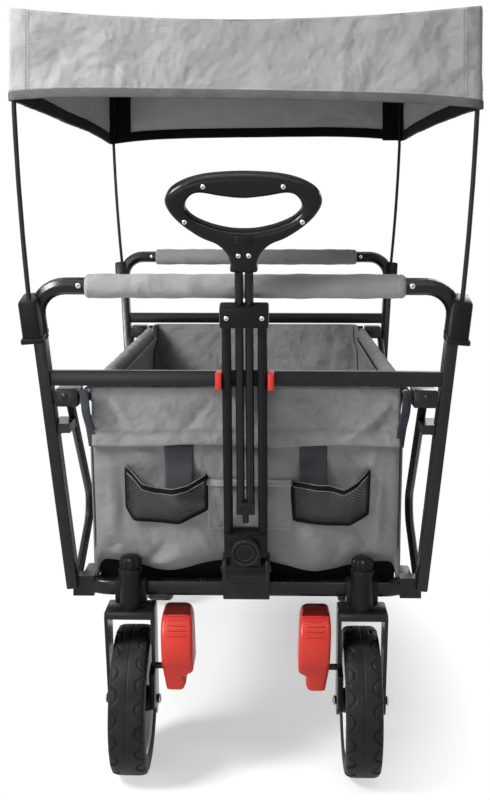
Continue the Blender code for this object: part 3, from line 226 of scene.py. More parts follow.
def empty_group(kind, name, inputs, outputs):
    """An empty node group with its sockets: net, inputs and the output node's inputs."""
    tree = bpy.data.node_groups.new(name, kind)
    for label, socket_type, value in inputs:
        socket = tree.interface.new_socket(label, in_out="INPUT", socket_type=socket_type)
        if value is not None:
            socket.default_value = value
    for label, socket_type in outputs:
        tree.interface.new_socket(label, in_out="OUTPUT", socket_type=socket_type)
    net = Net(tree)
    return net, net.add("NodeGroupInput").outputs, net.add("NodeGroupOutput").inputs


def finish_group(name, *inputs):
    return empty_group("ShaderNodeTree", name, [PLACE_IN, *inputs], FINISH_OUT)


def shades(net, into, share, spread):
    """The group's colour between a darker and a lighter shade of itself."""
    dark = net.scaled(into["Colour"], net.math("SUBTRACT", 1.0, spread))
    light = net.scaled(into["Colour"], net.plus(1.0, spread))
    return net.mix(share, dark, light)


def weave_group():
    """Plain weave: threads over and under, with slubs and slow shade changes."""
    net, into, leave = finish_group(
        "Plain Weave", ("Pitch", NUMBER, 0.0008), ("Colour", COLOUR, (1, 1, 1, 1)),
        ("Shade Spread", NUMBER, 0.12), ("Fade", NUMBER, 0.1))
    place = into["Vector"]
    turns = net.math("DIVIDE", math.pi, into["Pitch"])
    parts = net.add("ShaderNodeSeparateXYZ", {"Vector": place})
    warp = net.math("COSINE", net.times(parts.outputs[0], turns))
    weft = net.math("COSINE", net.times(parts.outputs[1], turns))
    over = net.spread(net.times(warp, weft), -0.25, 0.25)
    height = net.blend(over, net.times(warp, warp), net.times(weft, weft))
    slub = net.noise(net.vector("MULTIPLY", place, (900, 90, 90)), 1.0, 2.0)
    cross_slub = net.noise(net.vector("MULTIPLY", place, (90, 900, 90)), 1.0, 2.0)
    slow = net.noise(place, 9.0, 4.0)
    shade = net.plus(net.times(slub, 0.5), net.times(cross_slub, 0.5))
    shade = net.plus(shade, net.times(net.math("SUBTRACT", slow, 0.5), 0.8))
    shade = net.plus(shade, net.times(net.math("SUBTRACT", height, 0.5), 0.35))
    colour = shades(net, into, shade, into["Shade Spread"])
    worn = net.spread(net.noise(place, 22.0, 5.0, 0.65), 0.55, 0.8)
    faded = net.scaled(into["Colour"], 1.45)
    colour = net.mix(net.times(worn, into["Fade"]), colour, faded)
    return net.give(leave, colour, net.spread(shade, 0.0, 1.0, 0.86, 0.74), height)


def crease_group():
    """Shallow creases of cloth that was packed and folded."""
    net, into, leave = empty_group(
        "ShaderNodeTree", "Cloth Creases", (PLACE_IN, ("Density", NUMBER, 12.0)), [("Height", NUMBER)])
    place, density = into["Vector"], into["Density"]
    bend = net.noise(place, 5.0, 2.0)
    moved = net.vector("ADD", place, net.scaled(bend, 0.08))
    broad = net.voronoi(moved, density)
    narrow = net.voronoi(moved, net.times(density, 2.3))
    patch = net.spread(net.noise(place, 6.0, 2.0), 0.42, 0.62, 0.2, 1.0)
    sharp = net.plus(net.times(broad, 0.6), net.times(narrow, 0.24))
    soft = net.noise(moved, net.times(density, 0.9), 3.0)
    return net.give(leave, net.plus(net.times(sharp, patch), net.times(soft, 1.1)))


def coat_group():
    """Powder coat: orange peel, rubbed edges, fine scratches and a little dust."""
    net, into, leave = finish_group("Powder Coat", COLOUR_IN, ("Wear", NUMBER, 0.3), ("Gloss", NUMBER, 0.36))
    place = into["Vector"]
    peel = net.noise(place, 620.0, 2.0)
    patch = net.noise(place, 46.0, 5.0, 0.7)
    scratch = net.noise(net.vector("MULTIPLY", place, (260, 260, 26)), 1.0, 2.0)
    rubbed = net.times(net.spread(net.geometry("Pointiness"), 0.53, 0.62), net.spread(patch, 0.35, 0.6))
    rubbed = net.times(rubbed, into["Wear"])
    fine = net.times(net.spread(scratch, 0.66, 0.74), 0.06)
    lit = net.vector("ADD", net.scaled(into["Colour"], 2.0), (0.02, 0.02, 0.021))
    colour = net.mix(net.math("ADD", rubbed, fine, clamp=True), into["Colour"], lit)
    dust = net.times(net.spread(patch, 0.5, 0.8), 0.012)
    rough = net.plus(into["Gloss"], net.times(patch, 0.16))
    colour = net.mix(dust, colour, (0.1, 0.098, 0.095, 1))
    return net.give(leave, colour, net.plus(rough, net.times(rubbed, 0.1)), peel)


def grain_group():
    """Moulded plastic: spark-eroded grain, flow shades and lighter rubbed places."""
    net, into, leave = finish_group("Moulded Grain", COLOUR_IN, ("Grain", NUMBER, 900.0),
                                    ("Rough", NUMBER, 0.5), ("Spread", NUMBER, 0.25))
    grain = net.noise(into["Vector"], into["Grain"], 3.0, 0.6)
    flow = net.noise(into["Vector"], 14.0, 3.0)
    colour = shades(net, into, flow, into["Spread"])
    rubbed = net.times(net.spread(net.geometry("Pointiness"), 0.52, 0.64), 0.35)
    pale = net.vector("ADD", net.scaled(into["Colour"], 1.35), (0.012, 0.012, 0.012))
    rough = net.plus(into["Rough"], net.times(net.math("SUBTRACT", flow, 0.5), 0.22))
    return net.give(leave, net.mix(rubbed, colour, pale), rough, grain)


def dust_group():
    """Dry dust that gathers in patches and on faces that look up."""
    net, into, leave = empty_group(
        "ShaderNodeTree", "Dry Dust", (PLACE_IN, COLOUR_IN, ("Amount", NUMBER, 0.2)),
        (("Colour", COLOUR), ("Mask", NUMBER)))
    patch = net.spread(net.noise(into["Vector"], 30.0, 6.0, 0.7), 0.42, 0.72)
    normal = net.add("ShaderNodeSeparateXYZ", {"Vector": net.geometry("Normal")})
    up = net.spread(normal.outputs[2], -0.2, 1.0, 0.35, 1.0)
    mask = net.times(net.times(patch, up), into["Amount"])
    return net.give(leave, net.mix(mask, into["Colour"], (0.2, 0.19, 0.175, 1)), mask)


def plain_material(name):
    """A new material with its net, its Principled shader and its coordinates."""
    material = bpy.data.materials.new(name)
    material.use_nodes = True
    net = Net(material.node_tree)
    return material, net, material.node_tree.nodes["Principled BSDF"], net.add("ShaderNodeTexCoord")


def add_group(net, group, **inputs):
    node = net.add("ShaderNodeGroup", node_tree=group)
    for key, value in inputs.items():
        net.feed(node.inputs[key.replace("_", " ")], value)
    return node.outputs


def rgba(colour, scale=1.0):
    return (colour[0] * scale, colour[1] * scale, colour[2] * scale, 1.0)


def bumped(net, shader, heights):
    """Feeds one Bump node per height and depth in metres into the shader's normal."""
    normal = None
    for height, depth in heights:
        normal = net.add("ShaderNodeBump", {
            "Height": height, "Normal": normal, "Distance": depth, "Strength": 1.0}).outputs[0]
    net.feed(shader.inputs["Normal"], normal)


def cloth_material(groups, name, colour, pitch, creases, spread=0.2, fade=0.1, sheen=0.15, specular=0.3):
    material, net, shader, place = plain_material(name)
    woven = add_group(net, groups["weave"], Vector=place.outputs["UV"], Pitch=pitch,
                      Colour=colour, Shade_Spread=spread, Fade=fade)
    folds = add_group(net, groups["creases"], Vector=place.outputs["Object"], Density=19.0)
    for label, value in (("Base Color", woven["Colour"]), ("Roughness", woven["Roughness"]),
                         ("Sheen Weight", sheen), ("Sheen Roughness", 0.5),
                         ("Specular IOR Level", specular)):
        net.feed(shader.inputs[label], value)
    bumped(net, shader, [(folds["Height"], creases), (woven["Height"], pitch * 0.22)])
    return material


def hard_material(groups, name, group, depth, colour, dust=0.05, metallic=0.0, specular=0.28, **inputs):
    material, net, shader, place = plain_material(name)
    where = place.outputs["Object"]
    made = add_group(net, groups[group], Vector=where, Colour=colour, **inputs)
    dusty = add_group(net, groups["dust"], Vector=where, Colour=made["Colour"], Amount=dust)
    rough = net.math("ADD", made["Roughness"], net.times(dusty["Mask"], 0.4), clamp=True)
    for label, value in (("Base Color", dusty["Colour"]), ("Roughness", rough), ("Metallic", metallic),
                         ("Specular IOR Level", specular)):
        net.feed(shader.inputs[label], value)
    bumped(net, shader, [(made["Height"], depth)])
    return material


class WAGON_OT_finishes(bpy.types.Operator):
    """Make the shared node groups and every material"""

    bl_idname = "wagon.finishes"
    bl_label = "Finishes"

    def execute(self, context):
        looks = context.scene.wagon
        groups = {"weave": weave_group(), "creases": crease_group(), "coat": coat_group(),
                  "grain": grain_group(), "dust": dust_group()}
        cloth, body, wheel = looks.cloth, looks.frame, looks.wheel
        pitch, deep = cloth.thread_pitch, cloth.crease_depth
        # Name, colour, pitch, creases, spread, fade, sheen, specular
        cloths = {
            # Bag and canopy are one cloth: the bag's copy is painted darker (0.76 against 0.98) as painted
            # shade, since the canopy catches more light
            "cloth": ("bag cloth", rgba(cloth.colour, 0.76), pitch, deep),
            "roof": ("canopy cloth", rgba(cloth.colour, 0.98), pitch, deep * 0.8),
            # The canopy's inner side is the same cloth painted 1.45 times lighter: painted light on the
            # inside of the valance
            "roof_lining": ("coated back of the canopy", rgba(cloth.colour, 1.45), pitch, deep * 0.4,
                            0.08, 0.04, 0.1),
            "lining": ("coated back of the cloth", rgba(cloth.colour, 0.7), pitch, deep * 0.7,
                       0.08, 0.04, 0.1),
            "dark": ("slate edging", (0.024, 0.028, 0.036, 1), pitch, deep * 0.2, 0.35, 0.1, 0.06, 0.12),
            "tape": ("black tape", rgba(cloth.trim), pitch * 1.6, deep * 0.05, 0.35, 0.05, 0.02, 0.06),
            "hem": ("grey hem tape", (0.08, 0.08, 0.083, 1), pitch * 2.0, deep * 0.05,
                    0.55, 0.2, 0.05, 0.15),
            "loop": ("hook and loop strap", (0.036, 0.038, 0.043, 1), pitch * 1.1, 0.0008,
                     0.6, 0.2, 0.25, 0.1),
            "net": ("net yarn", (0.013, 0.013, 0.014, 1), 0.0006, 0.0, 0.3, 0.1, 0.05, 0.2),
            "thread": ("sewing thread", (0.3, 0.3, 0.31, 1), 0.0004, 0.0),
            "dark_thread": ("dark thread", (0.14, 0.14, 0.145, 1), 0.0004, 0.0),
            "sleeve": ("padded sleeve cloth", rgba(cloth.colour, 0.95), pitch, deep * 0.5)}
        for key, values in cloths.items():
            FINISH[key] = cloth_material(groups, *values)
        # Name, group, depth of its bumps, colour, dust, metallic, specular
        coats = {
            "steel": (("black powder coat", "coat", 0.00006, rgba(body.steel), 0.012, 0.0, 0.26),
                      {"Wear": 0.25, "Gloss": 0.19}),
            "tube": (("black tube coat", "coat", 0.00004, rgba(body.steel, 1.3), 0.012, 0.0, 0.2),
                     {"Wear": 0.15, "Gloss": 0.16}),
            "plastic": (("black plastic", "grain", 0.00008, rgba(body.plastic), 0.012, 0.0, 0.11),
                        {"Grain": 1100.0, "Rough": 0.32}),
            "grip": (("soft black grip", "grain", 0.00006, rgba(body.plastic, 0.9), 0.012, 0.0, 0.17),
                     {"Grain": 1600.0, "Rough": 0.26}),
            "red": (("red plastic", "grain", 0.00012, rgba(body.red), 0.04, 0.0, 0.25),
                    {"Grain": 900.0, "Rough": 0.34, "Spread": 0.1}),
            # Pedal tops: the red painted darker, as painted shade from the rail above them
            "painted_shade_red": (("red plastic painted in shade", "grain", 0.00012, rgba(body.red, 0.16), 0.04, 0.0, 0.12),
                       {"Grain": 900.0, "Rough": 0.4, "Spread": 0.1}),
            "rubber": (("tyre rubber", "grain", 0.00025, rgba(wheel.rubber), 0.08, 0.0, 0.09),
                       {"Grain": 420.0, "Rough": 0.5, "Spread": 0.4}),
            "rim": (("pale rim plastic", "grain", 0.0001, rgba(wheel.rim), 0.22),
                    {"Grain": 700.0, "Rough": 0.42, "Spread": 0.06}),
            "zinc": (("bright zinc", "coat", 0.00003, (0.62, 0.62, 0.64, 1), 0.05, 1.0),
                     {"Wear": 0.1, "Gloss": 0.2}),
            # Dark cross on screw heads: painted shade of a cross recess, in place of a hollow
            "recess": (("screw recess painted shade", "coat", 0.00003, (0.03, 0.03, 0.03, 1), 0.05, 0.6),
                       {"Wear": 0.0, "Gloss": 0.4})}
        for key, (values, inputs) in coats.items():
            FINISH[key] = hard_material(groups, *values, **inputs)
        return {"FINISHED"}


@contextmanager
def edited(data):
    """The mesh as a BMesh, written back after the edit."""
    bm = bmesh.new()
    bm.from_mesh(data)
    yield bm
    bm.to_mesh(data)
    bm.free()


def places(x, y, z):
    """Places as one array whose last axis is x, y, z."""
    return np.stack(np.broadcast_arrays(x, y, z), axis=-1).astype(float)


class Form:
    """Points and faces of one piece, with a UV in metres at each corner."""

    def __init__(self):
        self.points = []
        self.faces = []
        self.uvs = []
        self.slots = []

    def grid(self, points, wrap_rows=False, wrap_columns=False, slot=0, flip=False):
        """points is rows by columns by 3. Returns the index of its first point."""
        points = np.asarray(points, float)
        rows, columns = points.shape[:2]
        first = len(self.points)
        self.points.extend(points.reshape(-1, 3).tolist())
        u, v = lengths_of(points[rows // 2]), lengths_of(points[:, columns // 2])
        for r in range(rows if wrap_rows else rows - 1):
            for c in range(columns if wrap_columns else columns - 1):
                corners = [(r, c), (r, c + 1), (r + 1, c + 1), (r + 1, c)]
                if flip:
                    corners.reverse()
                self.faces.append([first + (a % rows) * columns + b % columns for a, b in corners])
                self.uvs.append([(u[b], v[a]) for a, b in corners])
                self.slots.append(slot)
        return first

    def cap(self, indices, slot=0):
        self.faces.append(list(indices))
        self.uvs.append([tuple(self.points[i][:2]) for i in indices])
        self.slots.append(slot)

    def loft(self, rings, slot=0):
        """A skin through closed rings, with a cap on its first and its last ring."""
        rings = np.asarray(rings, float)
        first = self.grid(rings, wrap_columns=True, slot=slot)
        count, width = rings.shape[:2]
        last = first + (count - 1) * width
        self.cap(range(first, first + width)[::-1], slot)
        self.cap(range(last, last + width), slot)

    def sweep(self, path, profile, closed=False, slot=0, up=(0, 0, 1)):
        """Carries a closed profile of side and up pairs along a path."""
        path = np.asarray(path, float)
        ahead = np.roll(path, -1, 0) - path
        behind = path - np.roll(path, 1, 0)
        if not closed:
            ahead[-1] = behind[-1]
            behind[0] = ahead[0]
        tangents = ahead / np.linalg.norm(ahead, axis=1)[:, None]
        tangents = tangents + behind / np.linalg.norm(behind, axis=1)[:, None]
        tangents /= np.linalg.norm(tangents, axis=1)[:, None]
        rings = []
        for place, tangent in zip(path, tangents):
            side = np.cross(tangent, up)
            side /= np.linalg.norm(side)
            raised = np.cross(side, tangent)
            rings.append([place + side * a + raised * b for a, b in profile])
        if closed:
            self.grid(rings, wrap_rows=True, wrap_columns=True, slot=slot)
        else:
            self.loft(rings, slot)

    def mesh(self, name):
        data = bpy.data.meshes.new(name)
        data.from_pydata(self.points, [], self.faces)
        layer = data.uv_layers.new(name="UVMap")
        layer.data.foreach_set("uv", [x for face in self.uvs for pair in face for x in pair])
        data.polygons.foreach_set("material_index", self.slots)
        return data

    def piece(self, name, materials, weld=0.00002, smooth=True, outward=True):
        """A linked object with welded points, smooth shading and its materials."""
        data = self.mesh(name)
        for material in materials:
            data.materials.append(FINISH[material])
        made = bpy.data.objects.new(name, data)
        bpy.context.scene.collection.objects.link(made)
        with edited(data) as bm:
            bmesh.ops.remove_doubles(bm, verts=bm.verts, dist=weld)
            if outward:
                bmesh.ops.recalc_face_normals(bm, faces=bm.faces)
        if smooth:
            data.shade_smooth()
        return made


def lengths_of(line):
    """Lengths along a line of points in metres, closed at its end."""
    steps = np.linalg.norm(np.diff(line, axis=0, append=line[:1]), axis=1)
    return [0.0, *np.cumsum(steps).tolist()]


def circle(radius, steps):
    turns = [2 * math.pi * i / steps for i in range(steps)]
    return [(radius * math.cos(t), radius * math.sin(t)) for t in turns]


def round_box(width, height, radius, steps=3):
    """Closed outline of a rectangle with round corners."""
    outline = []
    for sx, sy, start in ((1, 1, 0), (-1, 1, 90), (-1, -1, 180), (1, -1, 270)):
        for t in np.radians(start + 90 * np.arange(steps + 1) / steps):
            outline.append((sx * (width / 2 - radius) + radius * math.cos(t),
                            sy * (height / 2 - radius) + radius * math.sin(t)))
    return outline


def modifier(target, kind, **settings):
    added = target.modifiers.new(kind.title(), kind)
    for key, value in settings.items():
        setattr(added, key, value)


def settle(target):
    """Applies every modifier, so that the shape is in the mesh."""
    graph = bpy.context.evaluated_depsgraph_get()
    graph.update()
    data = bpy.data.meshes.new_from_object(target.evaluated_get(graph))
    target.modifiers.clear()
    target.data = data


def round_edges(target, radius, degrees=35):
    modifier(target, "BEVEL", width=radius, segments=2, limit_method="ANGLE",
             angle_limit=math.radians(degrees), harden_normals=True, use_clamp_overlap=True)
    settle(target)


def mark_sharp(bm, degrees):
    for edge in bm.edges:
        edge.smooth = edge.calc_face_angle(0) < math.radians(degrees)


def sharpen(data, degrees):
    """Smooth faces, with the edges over an angle left sharp."""
    data.shade_smooth()
    with edited(data) as bm:
        mark_sharp(bm, degrees)


def dressed(piece, body=None, node=None):
    """Gives a piece the body it rides on and hides the CAD node it stands for."""
    if body:
        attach(piece, body)
    if node:
        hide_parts(node)
    return piece


def thick(form, name, materials, thickness, offset=0, body=None, node=None, outward=False, weld=0.00002):
    """A cloth piece of some thickness, with its second material on the back."""
    cloth = form.piece(name, materials, weld=weld, outward=outward)
    modifier(cloth, "SOLIDIFY", thickness=thickness, offset=offset, material_offset=len(materials) - 1)
    settle(cloth)
    cloth.data.shade_smooth()
    return dressed(cloth, body, node)


def finished_copy(node, material, radius, degrees=35):
    """A welded copy of a CAD node with rounded edges, which stands for it."""
    source = frame["nodes"][node]
    data = source.data.copy()
    data.name = node + "_finish"
    with edited(data) as bm:
        bmesh.ops.remove_doubles(bm, verts=bm.verts, dist=0.00003)
        bmesh.ops.dissolve_limit(bm, angle_limit=math.radians(0.6), verts=bm.verts, edges=bm.edges)
        mark_sharp(bm, degrees)
    data.materials.clear()
    data.materials.append(FINISH[material])
    made = bpy.data.objects.new(node + "_finish", data)
    bpy.context.scene.collection.objects.link(made)
    for face in data.polygons:
        face.use_smooth = True
    round_edges(made, radius, degrees)
    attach(made, source["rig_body"])
    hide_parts(node)
    return made


def waves(x, y, seed, count, reach, crisp=1.0):
    """Creases from crossed waves of a fixed seed, from -1 to 1."""
    random = np.random.default_rng(seed)
    total = np.zeros_like(x, float)
    for _ in range(count):
        angle = random.uniform(0, math.pi)
        length = random.uniform(*reach)
        turn = random.uniform(0, 2 * math.pi)
        wave = np.sin((x * math.cos(angle) + y * math.sin(angle)) * 2 * math.pi / length + turn)
        total = total + np.sign(wave) * np.abs(wave) ** crisp
    return total / count


def ease(value, low, high):
    """0 below low, 1 above high, and smooth between."""
    share = np.clip((np.asarray(value, float) - low) / (high - low), 0, 1)
    return share * share * (3 - 2 * share)


def bump_at(value, centre, half):
    """1 at the centre, falling to 0 at half a width away."""
    return ease(1 - np.abs((np.asarray(value, float) - centre) / half), 0, 1)


def creased(across, up, lines):
    """Height of sharp folds along straight lines: x0, z0, x1, z1, width and height in mm."""
    across, up = np.asarray(across, float), np.asarray(up, float)
    total = np.zeros(np.broadcast(across, up).shape)
    for x0, z0, x1, z1, width, height in (np.array(lines) / 1000).tolist():
        length = math.hypot(x1 - x0, z1 - z0)
        run_x, run_z = (x1 - x0) / length, (z1 - z0) / length
        along = ((across - x0) * run_x + (up - z0) * run_z) / length
        off = (across - x0) * run_z - (up - z0) * run_x
        near = np.clip(along, 0, 1)
        past = (along - near) * length
        taper = (0.4 + 0.6 * np.sin(math.pi * near)) * np.exp(-(past / width) ** 2)
        total = total + height * taper * np.exp(-np.abs(off) / width)
    return total


def face_at(node, x, z, end):
    """Where a line along Y through (x, z) first meets a CAD node from outside that end."""
    data = frame["nodes"][node].data
    tree = BVHTree.FromPolygons([v.co[:] for v in data.vertices], [p.vertices[:] for p in data.polygons])
    place = tree.ray_cast(Vector((x, end * 2.0, z)), Vector((0, -end, 0)))[0]
    if place is None:
        raise RuntimeError("no face on " + node)
    return place


def repeat_tree(name, *inputs):
    """An empty geometry tree with its material last among its inputs."""
    shape, finish = ("Geometry", GEOMETRY, None), ("Material", MATERIAL, None)
    return empty_group("GeometryNodeTree", name, [shape, *inputs, finish], [("Geometry", GEOMETRY)])


def placed(net, shape, **inputs):
    """A Transform Geometry node on a shape."""
    return net.add("GeometryNodeTransform", {"Geometry": shape, **inputs}).outputs[0]


def triple(net, *values):
    return net.add("ShaderNodeCombineXYZ", dict(enumerate(values))).outputs[0]


def painted(net, shape, material):
    return net.add("GeometryNodeSetMaterial", {"Geometry": shape, "Material": material}).outputs[0]


def joined(net, *shapes):
    node = net.add("GeometryNodeJoinGeometry")
    for shape in shapes:
        net.feed(node.inputs[0], shape)
    return node.outputs[0]


def on_points(net, points, shape, toward, axis="Z"):
    """Instances of a shape on points, with one axis turned to a direction, made real."""
    aim = net.add("FunctionNodeAlignRotationToVector", {"Vector": toward}, axis=axis)
    made = net.add("GeometryNodeInstanceOnPoints", {
        "Points": points, "Instance": shape, "Rotation": aim.outputs[0]})
    return net.add("GeometryNodeRealizeInstances", {0: made.outputs[0]}).outputs[0]


def named(net, name, kind="FLOAT"):
    return net.add("GeometryNodeInputNamedAttribute", {"Name": name}, data_type=kind).outputs[0]


def stitch_tree():
    """Short raised stitches in a row along each edge line."""
    net, into, leave = repeat_tree(
        "Stitch Row", ("Pitch", NUMBER, 0.0042), ("Length", NUMBER, 0.003), ("Width", NUMBER, 0.0008))
    line = net.add("GeometryNodeMeshToCurve", {"Mesh": into["Geometry"]})
    steps = net.add("GeometryNodeResampleCurve", {"Curve": line.outputs[0], "Length": into["Pitch"]},
                    mode="LENGTH")
    bead = net.add("GeometryNodeMeshUVSphere", {"Segments": 6, "Rings": 4, "Radius": 0.5})
    shape = placed(net, bead.outputs[0], Scale=triple(net, into["Length"], into["Width"], into["Width"]))
    tangent = net.add("GeometryNodeInputTangent").outputs[0]
    made = on_points(net, steps.outputs[0], shape, tangent, "X")
    return net.give(leave, painted(net, made, into["Material"]))


def screw_tree():
    """Pan-head screws, one on each point, along its aim, with a dark cross set into the head as painted
    shade of a cross recess.
    """
    net, into, leave = repeat_tree(
        "Screw Heads", ("Radius", NUMBER, 0.004), ("Height", NUMBER, 0.0018), ("Recess", NUMBER, 1.0),
        ("Recess Material", MATERIAL, None))
    radius, height, recess = into["Radius"], into["Height"], into["Recess"]
    dome = net.add("GeometryNodeMeshUVSphere", {"Segments": 20, "Rings": 10, "Radius": 1.0})
    head = placed(net, dome.outputs[0], Scale=triple(net, radius, radius, height))
    wide, thin = net.times(radius, 1.05), net.times(radius, 0.24)
    raised, depth = net.times(height, 0.8), net.times(height, 0.46)
    # The crossed bars take the recess material: painted shade of the recess, not a hollow
    bars = []
    for size in ((wide, thin, depth), (thin, wide, depth)):
        bar = net.add("GeometryNodeMeshCube", {"Size": triple(net, *size)})
        bars.append(placed(net, bar.outputs[0], Translation=triple(net, 0.0, 0.0, raised)))
    kept = placed(net, joined(net, *bars), Scale=triple(net, recess, recess, recess))
    whole = joined(net, painted(net, head, into["Material"]), painted(net, kept, into["Recess Material"]))
    return net.give(leave, on_points(net, into["Geometry"], whole, named(net, "aim", "FLOAT_VECTOR")))


def rib_tree():
    """Round-ended ribs, one on each point, lying along its aim."""
    net, into, leave = repeat_tree("Moulded Ribs", ("Length", NUMBER, 0.01), ("Width", NUMBER, 0.0016))
    core = net.math("SUBTRACT", into["Length"], into["Width"])
    half = net.times(into["Width"], 0.5)
    rod = net.add("GeometryNodeMeshCylinder", {"Vertices": 10, "Radius": half, "Depth": core})
    parts = [rod.outputs["Mesh"]]
    for share in (0.5, -0.5):
        end = net.add("GeometryNodeMeshUVSphere", {"Segments": 10, "Rings": 6, "Radius": half})
        lift = triple(net, 0.0, 0.0, net.times(core, share))
        parts.append(placed(net, end.outputs[0], Translation=lift))
    made = on_points(net, into["Geometry"], joined(net, *parts), named(net, "aim", "FLOAT_VECTOR"))
    return net.give(leave, painted(net, made, into["Material"]))


def yarn_tree():
    """A round yarn along every edge of a net."""
    net, into, leave = repeat_tree("Net Yarn", ("Width", NUMBER, 0.0006))
    line = net.add("GeometryNodeMeshToCurve", {"Mesh": into["Geometry"]})
    ring = net.add("GeometryNodeCurvePrimitiveCircle", {
        "Resolution": 3, "Radius": net.times(into["Width"], 0.5)})
    wire = net.add("GeometryNodeCurveToMesh", {"Curve": line.outputs[0], "Profile Curve": ring.outputs[0]})
    real = net.add("GeometryNodeRealizeInstances", {"Geometry": wire.outputs[0]})
    return net.give(leave, painted(net, real.outputs[0], into["Material"]))


def tread_tree():
    """Wavy grooves pressed into a tyre along its normals."""
    net, into, leave = repeat_tree("Tyre Tread", ("Waves", NUMBER, 20.0), ("Depth", NUMBER, 0.0026))
    turn, side = named(net, "around"), named(net, "across")
    away = net.math("ABSOLUTE", side)
    phase = net.times(net.math("SIGN", side), 0.7)
    half_turn = net.times(net.times(turn, into["Waves"]), 0.5)
    wave = net.math("ABSOLUTE", net.math("SINE", net.plus(half_turn, phase)))
    line = net.math("SUBTRACT", 0.0262, net.times(wave, 0.015))
    past = net.math("SUBTRACT", away, line)
    groove = net.spread(net.math("ABSOLUTE", past), 0.0013, 0.0005)
    shoulder = net.times(net.spread(past, 0.0, 0.0012), 0.28)
    shoulder = net.times(shoulder, net.spread(away, 0.034, 0.028))
    middle = net.times(net.spread(away, 0.001, 0.0005), 0.35)
    total = net.math("MAXIMUM", net.math("MAXIMUM", groove, shoulder), middle)
    normal = net.add("GeometryNodeInputNormal").outputs[0]
    push = net.scaled(normal, net.times(total, net.times(into["Depth"], -1.0)))
    moved = net.add("GeometryNodeSetPosition", {"Geometry": into["Geometry"], "Offset": push})
    real = net.add("GeometryNodeRealizeInstances", {"Geometry": moved.outputs[0]})
    return net.give(leave, painted(net, real.outputs[0], into["Material"]))


# Geometry trees, each built on first use
TREE_MAKERS = {"stitch": stitch_tree, "screw": screw_tree, "rib": rib_tree, "yarn": yarn_tree,
               "tread": tread_tree}
TREES = {}


def grown(name, kind, data, **values):
    """A plain mesh piece that a geometry tree makes from a base mesh."""
    made = bpy.data.objects.new(name, data)
    bpy.context.scene.collection.objects.link(made)
    if kind not in TREES:
        TREES[kind] = TREE_MAKERS[kind]()
    added = made.modifiers.new(kind, "NODES")
    added.node_group = TREES[kind]
    for item in TREES[kind].interface.items_tree:
        label = item.name.replace(" ", "_")
        if item.item_type == "SOCKET" and item.in_out == "INPUT" and label in values:
            added[item.identifier] = values[label]
    settle(made)
    return made


def line_mesh(name, lines):
    """Edge lines through lists of points."""
    points, edges = [], []
    for line in lines:
        first = len(points)
        points.extend([tuple(p) for p in line])
        edges.extend([(first + i, first + i + 1) for i in range(len(line) - 1)])
    data = bpy.data.meshes.new(name)
    data.from_pydata(points, edges, [])
    return data


def point_mesh(name, spots):
    """Loose points, each with the direction it aims in."""
    data = bpy.data.meshes.new(name)
    data.from_pydata([tuple(p) for p, _ in spots], [], [])
    aim = data.attributes.new("aim", "FLOAT_VECTOR", "POINT")
    aim.data.foreach_set("vector", [x for _, direction in spots for x in Vector(direction).normalized()])
    return data


def stitches(name, lines, body, thread="thread", pitch=None):
    pitch = pitch or bpy.context.scene.wagon.cloth.stitch_pitch
    made = grown(name, "stitch", line_mesh(name, lines), Pitch=pitch, Length=pitch * 0.72,
                 Width=0.001, Material=FINISH[thread])
    return dressed(made, body)


def screws(name, spots, body, radius=0.004, height=0.0018, finish="zinc", recess=1.0):
    made = grown(name, "screw", point_mesh(name, spots), Radius=radius, Height=height,
                 Recess=recess, Material=FINISH[finish], Recess_Material=FINISH["recess"])
    sharpen(made.data, 50)
    return dressed(made, body)


def ribs(name, spots, length, width, finish, body):
    made = grown(name, "rib", point_mesh(name, spots), Length=length, Width=width, Material=FINISH[finish])
    sharpen(made.data, 50)
    return dressed(made, body)


# Canopy
ROOF_HALF_X = ROOF_HIGH.x - 0.0012
ROOF_HALF_Y = (ROOF_HIGH.y - ROOF_LOW.y) / 2 - 0.0012
CORNER_WIDTH = 0.0235
CORNER_PULL = 7.5

# Height of the valance's lower corners: front left, front right, rear left, rear right
VALANCE_CORNERS = (0.8757, 0.864, 0.8706, 0.8766)

# Folds left in the valance by packing: ends (x, z), width and height in mm
VALANCE_CREASES = (
    (-231.9, 939.2, -219.6, 910.7, 5, -4.2), (-214.7, 933.5, -182.4, 924, 3.5, -2.2),
    (-219.6, 910.7, -191.9, 933.5, 4.5, 3.4), (-191.9, 933.5, -157.7, 956.4, 5, 2),
    (-230, 925.9, -247.1, 891.5, 6, -3.6), (-219.6, 908.7, -231.9, 891.5, 5.5, 3.6),
    (-182.4, 923.2, -156.7, 922, 4, 2.6), (-156.7, 922, -161.5, 892.8, 4.5, -3),
    (-135.3, 912.3, -120, 893, 8, -3), (-106, 916, -88, 893, 4.5, 2.4), (-62.4, 922, -73.9, 889.7, 4, -3),
    (-62.4, 922, -52.9, 904.9, 3.5, 2.2), (18, 930, 42, 890, 5.5, 2.2), (105, 933, 150, 893, 6, -2.4),
    (198, 950, 212, 890, 6, 2.4), (-260, 900, -238, 886, 5, 2.6))


def roof_point(x, y):
    """Height of the roof cloth at a place: low in the middle, high at the corners."""
    across = (x / ROOF_HIGH.x) ** 2
    along = ((y - MIDDLE_Y) / (ROOF_HIGH.y - MIDDLE_Y)) ** 2
    return ROOF_HIGH.z - 0.0006 - 0.016 * (1 - across) - 0.016 * (1 - along)


def drawn_in(piece):
    """Lets the cloth ride on the front end, with a mesh of its own."""
    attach(piece, "front_end")
    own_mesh(piece)


